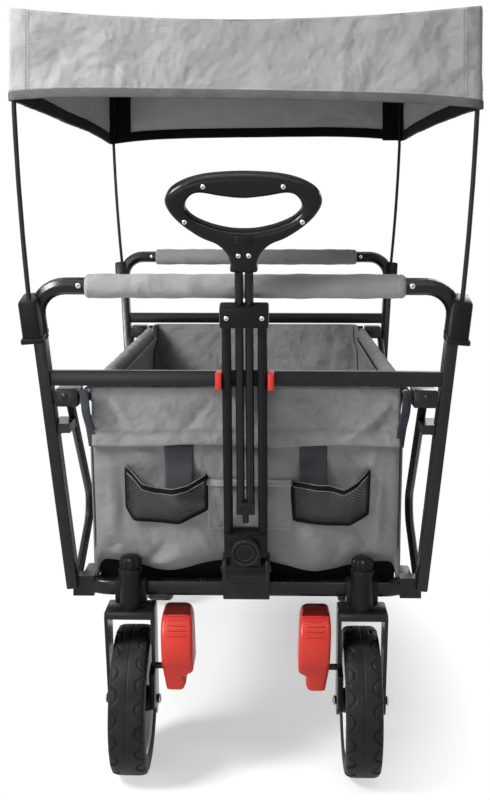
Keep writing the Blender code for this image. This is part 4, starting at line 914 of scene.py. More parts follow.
def rounded_plan(x, y):
    """Draws an edge place in beside the roof's corners, so that they turn softly."""
    beside_x = np.maximum(0, np.abs(x) - (ROOF_HALF_X - CORNER_WIDTH))
    beside_y = np.maximum(0, np.abs(y - MIDDLE_Y) - (ROOF_HALF_Y - CORNER_WIDTH))
    edge_x = np.abs(x / ROOF_HALF_X) ** 10
    edge_y = np.abs((y - MIDDLE_Y) / ROOF_HALF_Y) ** 10
    return (x - np.sign(x) * CORNER_PULL * beside_y ** 2 * edge_x,
            y - np.sign(y - MIDDLE_Y) * CORNER_PULL * beside_x ** 2 * edge_y)


def valance(x, y, share, lift=0.0, out=0.0):
    """Places on the valance under the edge place (x, y): share 0 at the roof, 1 at the lower edge."""
    x, y = np.asarray(x, float), np.asarray(y, float)
    u, v = x / ROOF_HALF_X, (y - MIDDLE_Y) / ROOF_HALF_Y
    on_end, on_side = np.abs(v) > 1 - 1e-6, np.abs(u) > 1 - 1e-6
    weights = ((1 - u) * (1 - v), (1 + u) * (1 - v), (1 - u) * (1 + v), (1 + u) * (1 + v))
    low = sum(weight * height for weight, height in zip(weights, VALANCE_CORNERS)) / 4
    t = np.where(on_end & on_side, 1.0, np.where(on_end, u, v))
    low = low + np.where(on_end, np.where(v < 0, 0.0068, 0.011), 0.005) * (1 - t ** 4)
    top = roof_point(x, y)
    z = top + (low - top) * share + lift
    middle = 1 - t ** 2
    slack = np.minimum(1.0, middle * 2.2) * (0.25 + 0.75 * share)
    broad = waves(x + y * 0.3, z * 1.6, 11, 7, (0.06, 0.26), 0.8) * 0.0038
    fine = waves(x + y - z * 0.9, z + x * 0.2, 23, 6, (0.02, 0.07), 0.9) * 0.0016
    across = np.where(on_end, np.where(v < 0, x, -x), (y - MIDDLE_Y) * np.sign(x) * 0.55)
    packed = creased(across, z, VALANCE_CREASES) * np.where(on_end & (v < 0), 1.0, 0.6)
    move = (broad + fine) * slack - 0.0035 * np.sin(math.pi * share) * middle + packed * (middle > 0)
    move = np.minimum(move, 0.003) + out
    plan_x, plan_y = rounded_plan(x, y)
    return np.stack([plan_x + np.sign(x) * on_side * move,
                     plan_y + np.sign(y - MIDDLE_Y) * on_end * move, z], axis=-1)


class WAGON_OT_canopy(bpy.types.Operator):
    """Roof cloth with its valance, hem tape, corner patches and seams"""

    bl_idname = "wagon.canopy"
    bl_label = "Canopy"

    def execute(self, context):
        xs = np.linspace(-ROOF_HALF_X, ROOF_HALF_X, 141)
        ys = np.linspace(MIDDLE_Y - ROOF_HALF_Y, MIDDLE_Y + ROOF_HALF_Y, 131)
        x, y = np.meshgrid(xs, ys)
        inner = (1 - (x / ROOF_HALF_X) ** 2) * (1 - ((y - MIDDLE_Y) / ROOF_HALF_Y) ** 2)
        inner = np.sqrt(np.maximum(0, inner))
        z = roof_point(x, y) + waves(x, y, 5, 8, (0.08, 0.3), 0.9) * 0.0034 * inner
        z = z + waves(x, y, 8, 8, (0.02, 0.08), 0.9) * 0.0012 * inner
        form = Form()
        form.grid(np.dstack([*rounded_plan(x, y), z]))
        loop = ([(x, ys[0]) for x in xs[:-1]] + [(xs[-1], y) for y in ys[:-1]]
                + [(x, ys[-1]) for x in xs[:0:-1]] + [(xs[0], y) for y in ys[:0:-1]])
        self.edge_x, self.edge_y = np.array(loop).T
        form.grid([self.edge(share) for share in np.linspace(0, 1, 31)], wrap_columns=True)
        cloth = thick(form, "canopy_cloth", ["roof", "roof_lining"], 0.0012, -1, node="canopy_roof",
                      outward=True, weld=0.0002)
        trims = [self.hem(), self.inner_trim(), self.patches(), self.seams()]
        for piece in [cloth, *trims]:
            drawn_in(piece)
        return {"FINISHED"}

    def edge(self, share, lift=0.0, out=0.0):
        return valance(self.edge_x, self.edge_y, share, lift, out)

    def hem(self):
        """Webbing folded over the valance's lower edge."""
        form = Form()
        centre = self.edge(1.0, 0.0048)
        outside = self.edge(1.0, 0.0048, 1.0) - centre
        rings = [centre + outside * side + np.array([0, 0, up])
                 for side, up in round_box(0.0032, 0.0112, 0.0012, 2)]
        form.grid(np.swapaxes(np.array(rings), 0, 1), wrap_rows=True, wrap_columns=True)
        return dressed(form.piece("canopy_hem_tape", ["hem"]))

    def inner_trim(self):
        """Black facing sewn inside the valance along its lower edge."""
        form = Form()
        form.grid([self.edge(1.0, lift, -0.0034) for lift in (0.0002, 0.006, 0.012, 0.018)],
                  wrap_columns=True)
        return thick(form, "canopy_inner_trim", ["tape"], 0.001)

    def patches(self):
        """Black pole pockets folded into the four inside corners."""
        form = Form()
        for sx in (-1, 1):
            for sy in (-1, 1):
                at_x, at_y = sx * (ROOF_HALF_X - 0.0045), MIDDLE_Y + sy * (ROOF_HALF_Y - 0.0045)
                plan = [(at_x - sx * a, at_y - sy * b) for a, b in (
                    (0, 0.019), (0, 0.008), (0.002, 0.002), (0.008, 0), (0.022, 0), (0.037, 0))]
                form.grid([[(x, y, z) for x, y in plan]
                           for z in np.linspace(ROOF_HIGH.z - 0.012, ROOF_HIGH.z - 0.113, 10)])
        return thick(form, "canopy_pole_pockets", ["tape"], 0.0016)

    def seams(self):
        """Double stitched seams beside each corner and along the hem."""
        lines = []
        for sx in (-1, 1):
            for sy in (-1, 1):
                for in_x, in_y in ((0.0215, 0), (0.0255, 0), (0, 0.0215)):
                    x, y = sx * (ROOF_HALF_X - in_x), MIDDLE_Y + sy * (ROOF_HALF_Y - in_y)
                    lines.append(valance(x, y, np.linspace(0.02, 0.88, 30), 0.0, 0.0007))
        ring = list(self.edge(1.0, 0.012, 0.0008))
        lines.append(ring + ring[:1])
        made = grown("canopy_seams", "stitch", line_mesh("canopy_seams", lines), Pitch=0.0042,
                     Length=0.003, Width=0.0009, Material=FINISH["thread"])
        return dressed(made)


# Steel and plastic pieces, by the finish of their rounded copy
STEEL_NODES = (
    "front_frame", "rear_frame", "front_push_bar", "rear_push_bar", "front_bracket_left",
    "front_bracket_right", "rear_bracket_left", "rear_bracket_right", "front_stay_left",
    "front_stay_right", "rear_stay_left", "rear_stay_right", "base_frame_front", "base_frame_rear",
    "side_rail_front_left", "side_rail_front_right", "side_rail_rear_left", "side_rail_rear_right",
    "rear_axle", "fork_left", "fork_right", "handle_bracket")
PLASTIC_NODES = (
    "front_socket_left", "front_socket_right", "rear_socket_left", "rear_socket_right",
    "handle_outer_frame", "handle_clamp", "handle_button")
POLE_NODES = (
    "canopy_pole_front_left", "canopy_pole_front_right", "canopy_pole_rear_left",
    "canopy_pole_rear_right")


class WAGON_OT_frame(bpy.types.Operator):
    """Rounded steel and plastic pieces of the frame, handle and casters"""

    bl_idname = "wagon.frame"
    bl_label = "Frame"

    def execute(self, context):
        radius = context.scene.wagon.frame.edge_radius
        for node in STEEL_NODES:
            finished_copy(node, "steel", radius)
        finished_copy("handle_inner_frame", "tube", radius)
        for node in PLASTIC_NODES:
            finished_copy(node, "plastic", radius * 1.3)
        for node in POLE_NODES:
            finished_copy(node, "tube", radius * 0.3, 50)
        self.clip(radius * 0.7)
        return {"FINISHED"}

    def clip(self, radius):
        """Handle clip: red jaws at its two ends, black between them."""
        clip = finished_copy("handle_clip", "red", radius)
        clip.data.materials.append(FINISH["plastic"])
        inner = 0.0268
        with edited(clip.data) as bm:
            for side in (-1, 1):
                bmesh.ops.bisect_plane(bm, geom=bm.verts[:] + bm.edges[:] + bm.faces[:],
                                       plane_co=(side * inner, 0, 0), plane_no=(1, 0, 0))
            for face in bm.faces:
                face.material_index = int(abs(face.calc_center_median().x) < inner)


# Studio lamps: name, place, power in watts, width and height in metres
LAMPS = (
    ("key", (-1.25, -1.15, 1.55), 62, 0.55, 0.55), ("top", (-0.4, 0.3, 3.2), 40, 1.6, 1.6),
    ("strip", (-0.1, -1.2, 2.3), 14, 2.2, 0.12), ("low", (-0.7, -2.5, 0.55), 7, 0.9, 0.9),
    ("back", (1.2, 2.6, 1.9), 22, 1.4, 1.4))
LAMP_TARGET = Vector((0, 0, 0.45))


def seen_mix(net, plain, white, share=None):
    """Shows white to the camera, in glossy reflections and through glass, else plain."""
    path = net.add("ShaderNodeLightPath")
    seen = net.math("MAXIMUM", path.outputs["Is Camera Ray"], path.outputs["Is Glossy Ray"])
    seen = net.math("MAXIMUM", seen, path.outputs["Is Transmission Ray"])
    mixer = net.add("ShaderNodeMixShader")
    net.feed(mixer.inputs[0], seen if share is None else net.math("MULTIPLY", seen, share))
    net.feed(mixer.inputs[1], plain.outputs[0])
    net.feed(mixer.inputs[2], white.outputs[0])
    return mixer.outputs[0]


class WAGON_OT_stage(bpy.types.Operator):
    """Pale floor, soft lamps, world and camera"""

    bl_idname = "wagon.stage"
    bl_label = "Stage"

    def execute(self, context):
        self.camera(context)
        self.floor()
        self.lamps(context)
        self.world(context)
        context.scene.view_settings.view_transform = "Standard"
        return {"FINISHED"}

    def camera(self, context):
        lens = bpy.data.cameras.new("camera")
        lens.lens = 53.76
        lens.shift_y = -0.2402
        camera = bpy.data.objects.new("camera", lens)
        context.scene.collection.objects.link(camera)
        camera.location = (0.0371, -1.8886, 0.7431)
        camera.rotation_euler = (math.radians(90), 0, 0.02495)
        context.scene.camera = camera

    def floor(self):
        form = Form()
        xs, ys = np.meshgrid(np.linspace(-14, 14, 9), np.linspace(-14, 14, 9))
        form.grid(np.dstack([xs, ys, np.full_like(xs, -0.0005)]))
        material, net, shader, place = plain_material("pale floor")
        shader.inputs["Base Color"].default_value = (0.86, 0.86, 0.86, 1)
        shader.inputs["Roughness"].default_value = 0.9
        shader.inputs["Specular IOR Level"].default_value = 0.1
        # The floor glows white to the camera: at half strength round the wagon, painted light that lightens
        # its cast shadow, and at full strength farther out, where it hides the shadow
        glow = net.add("ShaderNodeEmission", {"Color": (1, 1, 1, 1), "Strength": 1.0})
        from_middle = net.vector("SUBTRACT", place.outputs["Object"], (0, MIDDLE_Y, 0))
        shadow = net.vector("DIVIDE", from_middle, (0.3, 0.62, 1.0))
        reach = net.add("ShaderNodeVectorMath", {0: shadow}, operation="LENGTH").outputs["Value"]
        far = net.spread(reach, 0.66, 1.12, 0.5, 1.0)
        output = material.node_tree.nodes["Material Output"]
        net.feed(output.inputs["Surface"], seen_mix(net, shader, glow, far))
        FINISH["floor"] = material
        form.piece("floor", ["floor"], smooth=False, outward=False)

    def lamps(self, context):
        for name, place, power, width, height in LAMPS:
            data = bpy.data.lights.new(name, "AREA")
            data.energy = power
            data.shape = "RECTANGLE"
            data.size, data.size_y = width, height
            lamp = bpy.data.objects.new(name, data)
            context.scene.collection.objects.link(lamp)
            lamp.location = place
            lamp.rotation_euler = (LAMP_TARGET - Vector(place)).to_track_quat("-Z", "Y").to_euler()

    def world(self, context):
        world = bpy.data.worlds.new("studio")
        context.scene.world = world
        world.use_nodes = True
        net = Net(world.node_tree)
        soft = world.node_tree.nodes["Background"]
        soft.inputs["Color"].default_value = (1, 1, 1, 1)
        soft.inputs["Strength"].default_value = 0.25
        white = net.add("ShaderNodeBackground", {"Color": (1, 1, 1, 1), "Strength": 1.0})
        net.feed(world.node_tree.nodes["World Output"].inputs["Surface"], seen_mix(net, soft, white))


# Bag
BAG_TOP_Z = 0.5165
BAG_LOW_Z = 0.279
SIDE_LOW_Z = 0.2515
STRIP_REACH = 0.062
CORNER_ROUND = 0.013

# Sharp folds of the front wall, the rear wall and the flap: ends (x, z), width and height in mm
FRONT_CREASES = (
    (-101, 313, -134, 286, 5, -6.5), (-87, 299, -124, 284, 4.5, 5), (-185, 296, -165, 307, 4.5, -4),
    (-161, 400, -160, 324, 8, -4.5), (-176, 425, -172, 320, 10, 4.5), (158, 404, 144, 420, 5.5, 5.5),
    (157, 404, 128, 430, 6, -4), (160, 406, 167, 432, 5.5, 5), (174, 415, 168, 300, 9, 5),
    (55, 332, 125, 300, 13, 6), (58, 303, 82, 284, 4.5, -5), (118, 302, 100, 278, 5, -4.5),
    (-66, 332, -42, 290, 8, 4.5), (30, 440, 52, 400, 8, 4), (-140, 432, -115, 412, 7, 4),
    (-150, 330, -120, 300, 6, 4), (140, 330, 165, 290, 6, -4.5), (-20, 330, 10, 286, 8, -3))
REAR_CREASES = (
    (-150, 480, -110, 400, 9, 5.5), (-120, 470, -60, 420, 6, -4.5), (-170, 330, -120, 290, 6, -5.5),
    (-20, 490, 30, 400, 10, 5), (60, 480, 110, 390, 8, -5), (150, 480, 130, 360, 10, 5),
    (170, 330, 110, 290, 6, 5), (20, 330, 60, 290, 6, -5), (-80, 360, -40, 300, 8, 5),
    (0, 380, -60, 340, 7, -4))
FLAP_CREASES = (
    (190, 500, 168, 463, 5, -5.5), (130, 446, 194, 500, 7.5, 6.5), (98, 448, 140, 474, 6, 4),
    (-182, 508, -160, 466, 5.5, -5.5), (-170, 508, -146, 466, 8, 5), (-120, 502, -70, 456, 11, 4.5),
    (-38, 505, -85, 452, 9, -3.5), (45, 500, 95, 460, 11, 4.5), (110, 505, 75, 470, 8, -3.5),
    (-195, 480, -165, 455, 6, 4))


def end_line(z):
    """Y of the front wall's outer face at a height, before it sags."""
    return MIDDLE_Y - (POST_FOOT_Y + (z - POST_FOOT_Z) * POST_LEAN_Y - 0.0012)


def wall_half(z):
    """Half the bag's width at a height: narrow at the brackets, full below them."""
    return 0.1942 + 0.0062 * ease(z, 0.492, 0.462) - 0.0035 * ease(z, 0.3, 0.262)


def mirrored(points, end):
    """Points of the front end, turned to the rear end when end is 1."""
    points = np.array(points, float)
    if end > 0:
        points[..., 1] = 2 * MIDDLE_Y - points[..., 1]
    return points


def end_section(z, fronts=96, corners=6, backs=10):
    """Plan of the front shell at a height: x, y, outward x and outward y of each place."""
    half, line = wall_half(z), end_line(z)
    rows = [(-half, line + CORNER_ROUND + (STRIP_REACH - CORNER_ROUND) * (1 - i / backs), -1.0, 0.0)
            for i in range(backs)]
    for t in math.pi + math.pi / 2 * np.arange(corners + 1) / corners:
        rows.append((-half + CORNER_ROUND + CORNER_ROUND * math.cos(t),
                     line + CORNER_ROUND + CORNER_ROUND * math.sin(t), math.cos(t), math.sin(t)))
    inner = half - CORNER_ROUND
    rows += [(-inner + 2 * inner * i / fronts, line, 0.0, -1.0) for i in range(1, fronts)]
    rows += [(-x, y, -a, b) for x, y, a, b in rows[backs + corners::-1]]
    return np.array(rows, float).T


def end_push(x, z, front):
    """How far the end wall's cloth stands out or in at a place, in metres."""
    x, z = np.asarray(x, float), np.asarray(z, float)
    side = np.minimum(1.0, np.abs(x) / 0.19)
    free = (1 - side ** 4) * ease(z, BAG_TOP_Z, BAG_TOP_Z - 0.05)
    belly = 0.0075 * bump_at(z, 0.318, 0.085) * (1 - side ** 3)
    seed, deep, lines = (31, 0.006, FRONT_CREASES) if front else (47, 0.0062, REAR_CREASES)
    slow = waves(x * 1.25, z * 0.7, seed, 7, (0.09, 0.24), 0.75) * deep
    tight = waves(x + z * 0.6, z * 0.8, seed + 5, 8, (0.025, 0.06), 0.85)
    push = belly + free * (slow + tight * (0.0012 + 0.0026 * ease(z, 0.4, 0.29)))
    if front:
        push = push * (1 - 0.7 * np.exp(-(x / 0.05) ** 2))
    return push + creased(x, z, lines) * np.minimum(1, free * 3)


class WAGON_OT_bag_ends(bpy.types.Operator):
    """Front and rear shells of the bag, their piping and the stitches at the rear rim"""

    bl_idname = "wagon.bag_ends"
    bl_label = "Bag Ends"

    def execute(self, context):
        for word, end in ENDS:
            self.shell(word, end)
        for word, end in ENDS:
            self.piping(word, end)
        xs = np.linspace(-0.178, 0.178, 90)
        rows = [mirrored(places(xs, end_line(z) - 0.0006 - end_push(xs, z, False), z), 1)
                for z in (0.479, 0.4825)]
        stitches("bag_rear_stitches", rows, "rear_end")
        return {"FINISHED"}

    def shell(self, word, end):
        rings = []
        for z in np.linspace(BAG_TOP_Z, BAG_LOW_Z, 76):
            x, y, out_x, out_y = end_section(z)
            push = end_push(x, z, end < 0)
            on_front = np.abs(out_y)
            lobes = bump_at(x, -0.105, 0.075) + bump_at(x, 0.093, 0.075)
            tuck = 0.012 * ease(z, 0.3, BAG_LOW_Z) ** 2 * on_front
            low = ease(z, 0.33, BAG_LOW_Z)
            drop = (0.012 * lobes * on_front + (BAG_LOW_Z - SIDE_LOW_Z) * (1 - on_front)) * low
            rings.append(places(x + out_x * push * 0.35, y + out_y * push * on_front + tuck, z - drop))
        form = Form()
        form.grid(mirrored(rings, end), flip=end > 0)
        shell = thick(form, "bag_" + word + "_shell", ["cloth", "lining"], 0.0016, -1,
                      word + "_end", "bag_" + word + "_wall")
        # A black sheet of painted shade below the wall
        self.skirt(word, end)

    def skirt(self, word, end):
        """Black sheet under the bag's grey wall: painted shade that fills the gap where the base frame and
        its shadow show dark.
        """
        form = Form()
        rows = []
        for z in np.linspace(0.296, 0.244, 9):
            line = end_line(z) + 0.0135
            front = [(x, line + 0.001 * math.sin(x * 70 + z * 90), z) for x in np.linspace(-0.19, 0.19, 60)]
            rows.append([(-0.1955, line + 0.05, z), (-0.195, line + 0.006, z)] + front
                        + [(0.195, line + 0.006, z), (0.1955, line + 0.05, z)])
        form.grid(mirrored(rows, end), flip=end > 0)
        return thick(form, "bag_" + word + "_skirt", ["tape"], 0.0012, 0, word + "_end")

    def piping(self, word, end):
        """Piped seams down the corners of one end."""
        form = Form()
        reach = CORNER_ROUND * (1 - math.sqrt(0.5))
        z = np.linspace(BAG_TOP_Z - 0.004, BAG_LOW_Z - 0.004, 40)
        tuck = 0.008 * ease(z, 0.3, BAG_LOW_Z) ** 2
        for sx in (-1, 1):
            path = places(sx * (wall_half(z) - reach + 0.0006), end_line(z) + reach - 0.0006 + tuck, z)
            form.sweep(mirrored(path, end), circle(0.0019, 8), up=(0, 1, 0))
        dressed(form.piece("bag_" + word + "_piping", ["dark"]), word + "_end")


def flap_point(x, share, out=0.0):
    """Outer face of the flap: share 0 at the crossbar, 1 at its lower edge."""
    z = 0.5162 - 0.0748 * share
    sag = 0.0016 * np.sin(x * 33 + 0.6) * share
    turn = np.maximum(0.0, np.abs(x) - 0.1935)
    stand = 0.0034 + 0.0052 * ease(share, 0.55, 1.0) + 0.0012 * np.sin(x * 58 + 1.1) * share
    wall = end_push(x, z, True)
    fold = creased(x, z, FLAP_CREASES) * ease(share, 0, 0.3)
    ripple = (waves(x * 1.1, z * 0.5, 71, 7, (0.035, 0.12), 0.8) + 1) * 0.0016 * share
    y = end_line(z) - stand - np.maximum(wall * 0.75 * share, -0.001) - fold - ripple + turn * 0.4
    return places(x, np.minimum(y, end_line(z) - wall - 0.0014) - out, z - sag)


class WAGON_OT_bag_flap(bpy.types.Operator):
    """Turned-over flap of the front wall, its hem, stitches and dark side strips"""

    bl_idname = "wagon.bag_flap"
    bl_label = "Bag Flap"

    def execute(self, context):
        form = Form()
        xs = np.linspace(-0.196, 0.196, 150)
        grid = [flap_point(xs, share) for share in [*np.linspace(0, 0.78, 26), *np.linspace(0.8, 1.0, 12)]]
        turned_in = ((0.0012, -0.0016), (0.0034, -0.0006), (0.004, 0.003), (0.0042, 0.0095))
        grid += [grid[-1] + np.array([0, depth, rise]) for depth, rise in turned_in]
        form.grid(grid)
        flap = thick(form, "bag_flap", ["cloth"], 0.0013, 1, "front_end")
        xs = np.linspace(-0.192, 0.192, 120)
        rows = [flap_point(xs, share, 0.0015) for share in (0.735, 0.765)]
        sewn = stitches("bag_flap_stitches", rows, "front_end", "dark_thread", 0.0046)
        self.strips()
        return {"FINISHED"}

    def strips(self):
        """Slate edging between the flap and the posts."""
        form = Form()
        t = np.linspace(0, 1, 6)
        for sx in (-1, 1):
            rows = []
            for z in np.linspace(0.514, 0.438, 24):
                share = (0.514 - z) / 0.076
                plain = end_line(z) - 0.0085
                line = plain + (min(plain, -0.3899) - plain) * ease(z, 0.462, 0.49)
                rows.append(places(sx * (0.1985 - 0.009 * share + 0.0113 * t),
                                   line + 0.004 * t * t + 0.0008 * math.sin(9 * share), z))
            form.grid(rows, flip=sx < 0)
        return thick(form, "bag_flap_edging", ["dark"], 0.0014, 0, "front_end")


# Mouth and lower edge of the two net pockets, seen from the front: (x, z)
POCKETS = {
    "left": (((-0.1542, 0.408), (-0.147, 0.403), (-0.132, 0.388), (-0.115, 0.3825), (-0.095, 0.3815),
              (-0.074, 0.385), (-0.0512, 0.3972)),
             ((-0.154, 0.356), (-0.1445, 0.34), (-0.12, 0.3385), (-0.086, 0.337), (-0.0512, 0.354))),
    "right": (((0.0595, 0.3895), (0.085, 0.388), (0.105, 0.3865), (0.125, 0.3815), (0.142, 0.39),
               (0.1575, 0.4062)),
              ((0.0625, 0.3415), (0.09, 0.338), (0.133, 0.3346), (0.1562, 0.349)))}


def along_line(line, share):
    """Places at shares of the length of a line: x and z."""
    line = np.array(line)
    lengths = np.concatenate([[0], np.cumsum(np.linalg.norm(np.diff(line, axis=0), axis=1))])
    return [np.interp(share * lengths[-1], lengths, line[:, k]) for k in (0, 1)]


def on_wall(x, z, out):
    """Places out in front of the front wall's cloth."""
    return places(x, end_line(z) - end_push(x, z, True) - out, z)


def pocket_point(word, across, share):
    """Places on a bulging pocket: across 0 to 1, share 0 at its mouth."""
    mouth, low = (along_line(line, across) for line in POCKETS[word])
    x = mouth[0] + (low[0] - mouth[0]) * share
    z = mouth[1] + (low[1] - mouth[1]) * share
    edge = np.sqrt(np.maximum(0, np.sin(math.pi * across)))
    swell = 0.0175 * edge * (1 - np.maximum(share, 0) ** 2.6) + 0.0035 * edge
    return on_wall(x, z, 0.0024 + swell * (1 - 0.12 * np.sin(across * 17) * (1 - share)))


class WAGON_OT_bag_pockets(bpy.types.Operator):
    """Net pockets, their straps and the cloth pocket behind the handle"""

    bl_idname = "wagon.bag_pockets"
    bl_label = "Front Pockets"

    def execute(self, context):
        for word in POCKETS:
            self.net(word)
            self.painted_shade_backing(word)
            self.rim(word)
        self.straps()
        self.middle_pocket()
        return {"FINISHED"}

    def net(self, word, across=46, down=26):
        """Diagonal net of yarn."""
        grid = pocket_point(word, *np.meshgrid(np.linspace(0, 1, across + 1), np.linspace(0, 1, down + 1)))
        knots = [(r, c) for r in range(down + 1) for c in range(across + 1) if (r + c) % 2 == 0]
        index = {knot: number for number, knot in enumerate(knots)}
        edges = sorted((number, index[(r + 1, c + side)]) for (r, c), number in index.items()
                       for side in (1, -1) if (r + 1, c + side) in index)
        data = bpy.data.meshes.new("net_pocket_" + word)
        data.from_pydata([grid[knot] for knot in knots], edges, [])
        net = grown("net_pocket_" + word, "yarn", data, Width=0.0011, Material=FINISH["net"])
        net.data.shade_smooth()
        dressed(net, "front_end")

    def painted_shade_backing(self, word):
        """Black sheet behind the net, reaching a little above its mouth: painted shade of the pocket's
        inside.
        """
        form = Form()
        spots = pocket_point(word, *np.meshgrid(np.linspace(0, 1, 31), np.linspace(-0.12, 1, 16)))
        form.grid(on_wall(spots[..., 0], spots[..., 2], 0.0012))
        thick(form, "net_pocket_back_" + word, ["tape"], 0.0008, 1, "front_end")

    def rim(self, word):
        """Bound mouth and outline of a net pocket."""
        form = Form()
        mouth = pocket_point(word, np.linspace(0, 1, 50), 0.0)
        outline = [*pocket_point(word, np.zeros(20), np.linspace(0, 1, 20)),
                   *pocket_point(word, np.linspace(0.03, 1, 40), 1.0),
                   *pocket_point(word, np.ones(20), np.linspace(0.95, 0, 20))]
        form.sweep(mouth, round_box(0.0026, 0.008, 0.001, 2))
        form.sweep(outline, round_box(0.005, 0.0018, 0.0008, 2), up=(0, -1, 0))
        for lift in (0.0036, -0.0036):
            form.sweep(mouth + np.array([0, -0.0014, lift]), circle(0.0005, 6), slot=1)
        dressed(form.piece("net_pocket_rim_" + word, ["tape", "dark_thread"]), "front_end")

    def straps(self):
        """Hook and loop straps that hang into the net pockets."""
        form = Form()
        for left, right, high, low in ((-0.1045, -0.0675, 0.44, 0.378), (0.0685, 0.104, 0.44, 0.385)):
            x, z = np.meshgrid(np.linspace(left, right, 10), np.linspace(high, low, 18))
            share = (high - z) / (high - low)
            form.grid(on_wall(x, z, 0.002 + 0.0075 * ease(share, 0.25, 0.95) + 0.0006 * np.sin(share * 14)))
        thick(form, "pocket_straps", ["loop"], 0.0018, 0, "front_end")

    def middle_pocket(self):
        """Cloth pocket behind the handle, with its hem."""
        x, z = np.meshgrid(np.linspace(-0.05, 0.0585, 40), np.linspace(0.3925, 0.327, 22))
        share = (0.3925 - z) / 0.0655
        edge = np.sqrt(np.maximum(0, np.sin(math.pi * (x + 0.05) / 0.1085)))
        fold = 0.0012 * np.sin(x * 140 + share * 4) * (1 - share)
        grid = on_wall(x, z, 0.0018 + edge * 0.004 * (1 - share ** 2) + fold)
        form = Form()
        form.grid(grid)
        pocket = thick(form, "middle_pocket", ["cloth"], 0.0012, 1, "front_end")
        hem = Form()
        hem.sweep(grid[0] + np.array([0, -0.0008, -0.003]), round_box(0.0026, 0.0085, 0.001, 2))
        band = dressed(hem.piece("middle_pocket_hem", ["cloth"]), "front_end")
        up = np.linspace(0.392, 0.328, 20)
        lines = [grid[0] + np.array([0, -0.0026, -0.0058]),
                 on_wall(np.linspace(-0.047, 0.056, 30), 0.3275, 0.0035),
                 on_wall(np.linspace(0.066, 0.158, 30), 0.3222, 0.0012),
                 on_wall(np.full(20, -0.048), up, 0.0035), on_wall(np.full(20, 0.0565), up, 0.0035)]
        sewn = stitches("middle_pocket_stitches", lines, "front_end")


def side_ends(z):
    """Y where the side panel's cloth starts and ends at a height, under the end shells."""
    front = end_line(z) + STRIP_REACH - 0.028
    return front, 2 * MIDDLE_Y - front


def side_point(y, z, side):
    """Places on a side panel, which bellies out between the end shells."""
    share = (y - MIDDLE_Y) / 0.36
    free = np.maximum(0.0, 1 - share ** 4) * ease(z, 0.5, 0.46)
    belly = 0.0055 * bump_at(z, 0.33, 0.12) * np.maximum(0.0, 1 - share ** 2)
    seed = 83 if side < 0 else 97
    slow = waves(y, z * 0.7, seed, 7, (0.08, 0.26), 0.8) * 0.0055
    tight = waves(y, z, seed + 3, 8, (0.025, 0.07), 0.85) * 0.0026
    half = wall_half(z) + belly + free * (slow + tight) - 0.003
    return places(side * np.minimum(half, RAIL_X), y, z)


def side_fold(piece):
    """Lets a piece of the bag's side ride on the front end, with a mesh of its own."""
    drawn_in(piece)


